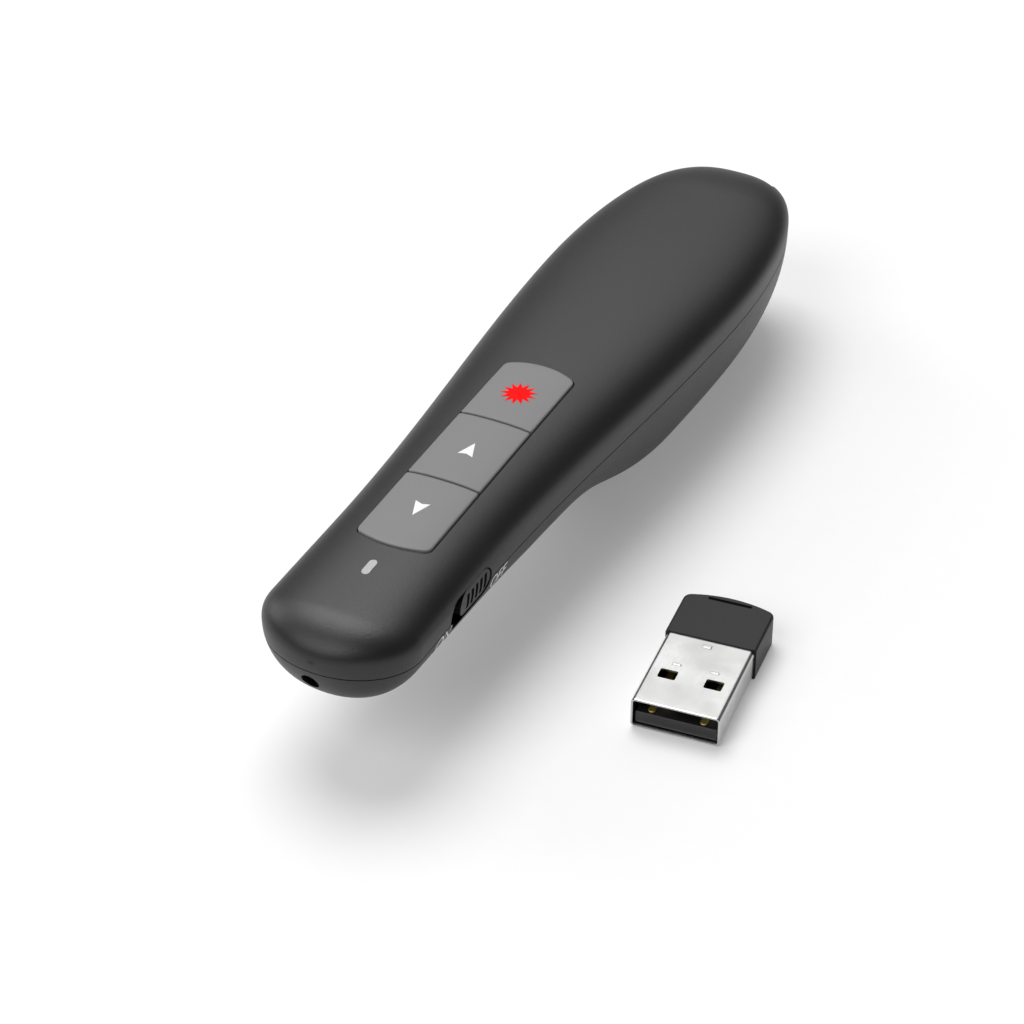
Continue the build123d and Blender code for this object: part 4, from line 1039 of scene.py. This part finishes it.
housing_plastic = moulded("housing_plastic", 0.006, 0.44, 3600.0, 2.0e-5, sheen=0.52)
slider_plastic = moulded("slider_plastic", 0.007, 0.42, 4200.0, 1.6e-5)
frame_plastic = moulded("frame_plastic", 0.012, 0.5, 2500.0, 1.5e-5)
key_plastic = moulded("key_plastic", 0.18, 0.55, 4200.0, 1.2e-5, mottle=0.02)
cap_plastic = moulded("cap_plastic", 0.014, 0.42, 4000.0, 1.2e-5, sheen=0.22)
tongue_plastic = moulded("tongue_plastic", 0.012, 0.35, 3000.0, 0.6e-5)
cover(housing_plastic, upper_shell, lower_shell, cover_plate)
cover(slider_plastic, slider_knob)
cover(cap_plastic, cap_body)
cover(tongue_plastic, plug_tongue)
cover(key_plastic, *key_tops.values())
print(len(bpy.data.materials), "materials, the CAD model's among them")

# %% Inks and the clear light
RED_INKS = ((0.95, 0.004, 0.006, 1), (1.0, 0.012, 0.012, 1))
ink_white = moulded("ink_white", 0.8, 0.45, 5000.0, 0.4e-5, mottle=0.02)
ink_red = Shader("ink_red", Roughness=0.8, Specular_IOR_Level=0.05)
ink_red.drive(Base_Color=ink_red.blend(ink_red.noise(1500.0), *RED_INKS))
lit_pill = Shader("lit_pill", Roughness=0.3, Subsurface_Weight=0.3, Subsurface_Scale=0.001)
lit_pill.drive(Base_Color=lit_pill.blend(lit_pill.noise(900.0), grey(0.38), grey(0.43)))
cover(ink_white, up_arrow, down_arrow, on_word, off_word)
cover(ink_red, laser_burst)
cover(lit_pill, light_pill)
print(len(bpy.data.materials), "materials with the inks")

# %% [markdown]
# ## Metals
#
# The plug's shell is stamped from nickel-plated sheet, rolled before it was stamped, so its
# surface has faint lines along the plug. A noise stretched along one direction gives them, and
# the same noise feeds the roughness. The receiver's contacts are gold plated, the screws are
# zinc plated, and the cans and the batteries' contacts are plain steel sheet.

# %% Metals
def metal(name, colour, roughness, stretch, turn=0.0):
    """Bare metal: a stretched noise draws lines in its roughness and relief, and a slow one stains it."""
    shader = Shader(name, Metallic=1.0)
    lines = shader.noise(1.0, 3.0, shader.place(stretch, turn), 0.6)
    cloud = shader.noise(180.0, 3.0)
    darker = tuple(0.86 * part for part in colour)
    shader.drive(Base_Color=shader.blend(cloud.between(0.25, 0.7), (*darker, 1), (*colour, 1)),
                 Roughness=roughness + (lines - 0.5) * 0.12 + (cloud - 0.5) * 0.12)
    shader.bump(lines, 2e-6)
    return shader


plug_metal = metal("plug_metal", (0.56, 0.56, 0.555), 0.25, (9000.0, 500.0, 9000.0), -RECEIVER_TURN)
gold_plate = metal("gold_plate", (0.8, 0.62, 0.22), 0.5, (9000.0, 700.0, 9000.0), -RECEIVER_TURN)
can_sheet = metal("can_sheet", (0.62, 0.61, 0.58), 0.32, (2000.0, 2000.0, 500.0))
screw_zinc = metal("screw_zinc", (0.5, 0.5, 0.5), 0.3, (4000.0, 4000.0, 4000.0))
turned_brass = metal("turned_brass", (0.72, 0.5, 0.2), 0.3, (9000.0, 500.0, 9000.0))
cover(plug_metal, plug_shell, *plug_tabs)
cover(gold_plate, *contact_strips)
print(len(bpy.data.materials), "materials with the metals")

# %% Everything else inside
LAMINATE_GREENS = ((0.005, 0.055, 0.02, 1), (0.01, 0.085, 0.03, 1))
board_laminate = Shader("board_laminate", Specular_IOR_Level=0.5)
weave = board_laminate.noise(1200.0)
board_laminate.drive(Base_Color=board_laminate.blend(weave, *LAMINATE_GREENS), Roughness=0.25 + weave * 0.15)
chip_resin = moulded("chip_resin", 0.014, 0.5, 6000.0, 0.8e-5)
cell_jacket = moulded("cell_jacket", 0.05, 0.28, 900.0, 0.2e-5)
led_body = moulded("led_body", 0.7, 0.3, 2000.0, 0.2e-5)
clear_lens = Shader("clear_lens", Transmission_Weight=1.0, IOR=1.5)
clear_lens.drive(Roughness=clear_lens.noise(700.0) * 0.04)

# %% A finish for every CAD node, by the name of its material
finishes = {"housing_black": housing_plastic, "key_grey": key_plastic, "clear_white": lit_pill,
            "led_white": led_body, "slider_black": slider_plastic, "board_green": board_laminate,
            "chip_black": chip_resin, "contact_steel": can_sheet, "screw_steel": screw_zinc,
            "barrel_brass": turned_brass, "lens_glass": clear_lens, "cell_wrap": cell_jacket,
            "frame_black": frame_plastic, "plug_steel": plug_metal, "cap_grey": cap_plastic,
            "tongue_black": tongue_plastic, "contact_gold": gold_plate}
for name, piece in nodes.items():
    cover(finishes[piece.material_slots[0].material.name.split(".")[0]], piece)
print({name: piece.material_slots[0].material.name for name, piece in nodes.items()})

# %% [markdown]
# ## Floor
#
# The set is a white sweep. The floor is a plain white that scatters light, so it takes the
# shadows. A share of it is shown to the camera, to mirrors and through glass as pure white, by
# the kind of ray that looks at it. More light would whiten the floor too, but it would wash out
# the black plastic as well.

# %% The floor
FLOOR_REACH, WHITE_SHARE = 3000.0, 0.24
corners = np.array([[-1, -1, 0], [1, -1, 0], [1, 1, 0], [-1, 1, 0]])
floor = mesh_object("floor", corners * FLOOR_REACH, [[0, 1, 2, 3]])
sweep = Shader("white_sweep", Roughness=0.9, Specular_IOR_Level=0.0)
sweep.drive(Base_Color=sweep.blend(sweep.noise(400.0), grey(0.89), grey(0.91)))
paths = sweep.tree.nodes.new("ShaderNodeLightPath")
camera_ray, glossy_ray, glass_ray = (Value(sweep, paths.outputs[f"Is {kind} Ray"])
                                     for kind in ("Camera", "Glossy", "Transmission"))
share = sweep.math("MINIMUM", camera_ray + glossy_ray + glass_ray, 1.0) * WHITE_SHARE
white = sweep.node("ShaderNodeEmission", inputs={"Color": (1, 1, 1, 1), "Strength": 1.0})
scattering = Value(sweep, sweep.surface.outputs[0])
mixed = sweep.node("ShaderNodeMixShader", inputs={0: share, 1: scattering, 2: white})
sweep.put(sweep.tree.nodes["Material Output"].inputs["Surface"], mixed)
cover(sweep, floor)
print("floor", 2 * FLOOR_REACH * MM, "m wide")

# %% [markdown]
# ## Lamps
#
# Four round soft boxes hang 2 m from the middle of the set. The top one draws the broad sheen
# along the bulb and throws the main shadow forwards and to the right. The back one widens that
# sheen, and the front and left ones lift the front end, the keys and the receiver. A single
# large lamp would be simpler, but on a body this round it leaves one narrow streak. Each lamp
# is given by its radiance, so that a change of its size changes how soft it is and not how
# bright its reflection looks.

# %% Soft boxes
BOX_DISTANCE = 2.0


def soft_box(name, azimuth, elevation, size, radiance):
    """A round lamp that looks at the middle of the set; its power is pi * area * radiance."""
    data = bpy.data.lights.new(name, "AREA")
    data.shape, data.size = "DISK", size
    data.energy = math.pi * math.pi * (size / 2) ** 2 * radiance
    lamp = bpy.data.objects.new(name, data)
    bpy.context.scene.collection.objects.link(lamp)
    a, e = math.radians(azimuth), math.radians(elevation)
    aim = np.array([math.cos(a) * math.cos(e), math.sin(a) * math.cos(e), math.sin(e)])
    lamp.location = aim * BOX_DISTANCE
    lamp.rotation_euler = (math.pi / 2 - e, 0, a + math.pi / 2)
    print(name, round(data.energy, 1), "W")


soft_box("top_box", 139, 67, 1.4, 5.4)
soft_box("back_box", 114, 47, 1.8, 1.1)
soft_box("front_box", 250, 42, 1.5, 3.1)
soft_box("left_box", 176, 26, 1.2, 3.0)

# %% [markdown]
# ## World
#
# A dim even world fills the shadows. Past the edge of the floor the camera sees a pale backdrop
# instead, chosen by Is Camera Ray, so that low views have no dark horizon.

# %% The world
WORLD_STRENGTH = 0.14
world = bpy.data.worlds.new("studio")
bpy.context.scene.world = world
world.use_nodes = True
sky = world.node_tree
fill, backdrop = sky.nodes["Background"], sky.nodes.new("ShaderNodeBackground")
either, paths = sky.nodes.new("ShaderNodeMixShader"), sky.nodes.new("ShaderNodeLightPath")
fill.inputs["Color"].default_value = (1, 1, 1, 1)
fill.inputs["Strength"].default_value = WORLD_STRENGTH
backdrop.inputs["Strength"].default_value = 1.0
for source, socket in ((paths.outputs["Is Camera Ray"], either.inputs[0]),
                       (fill.outputs[0], either.inputs[1]), (backdrop.outputs[0], either.inputs[2]),
                       (either.outputs[0], sky.nodes["World Output"].inputs["Surface"])):
    sky.links.new(source, socket)
bpy.context.scene.view_settings.view_transform = "Standard"
print("world", WORLD_STRENGTH)
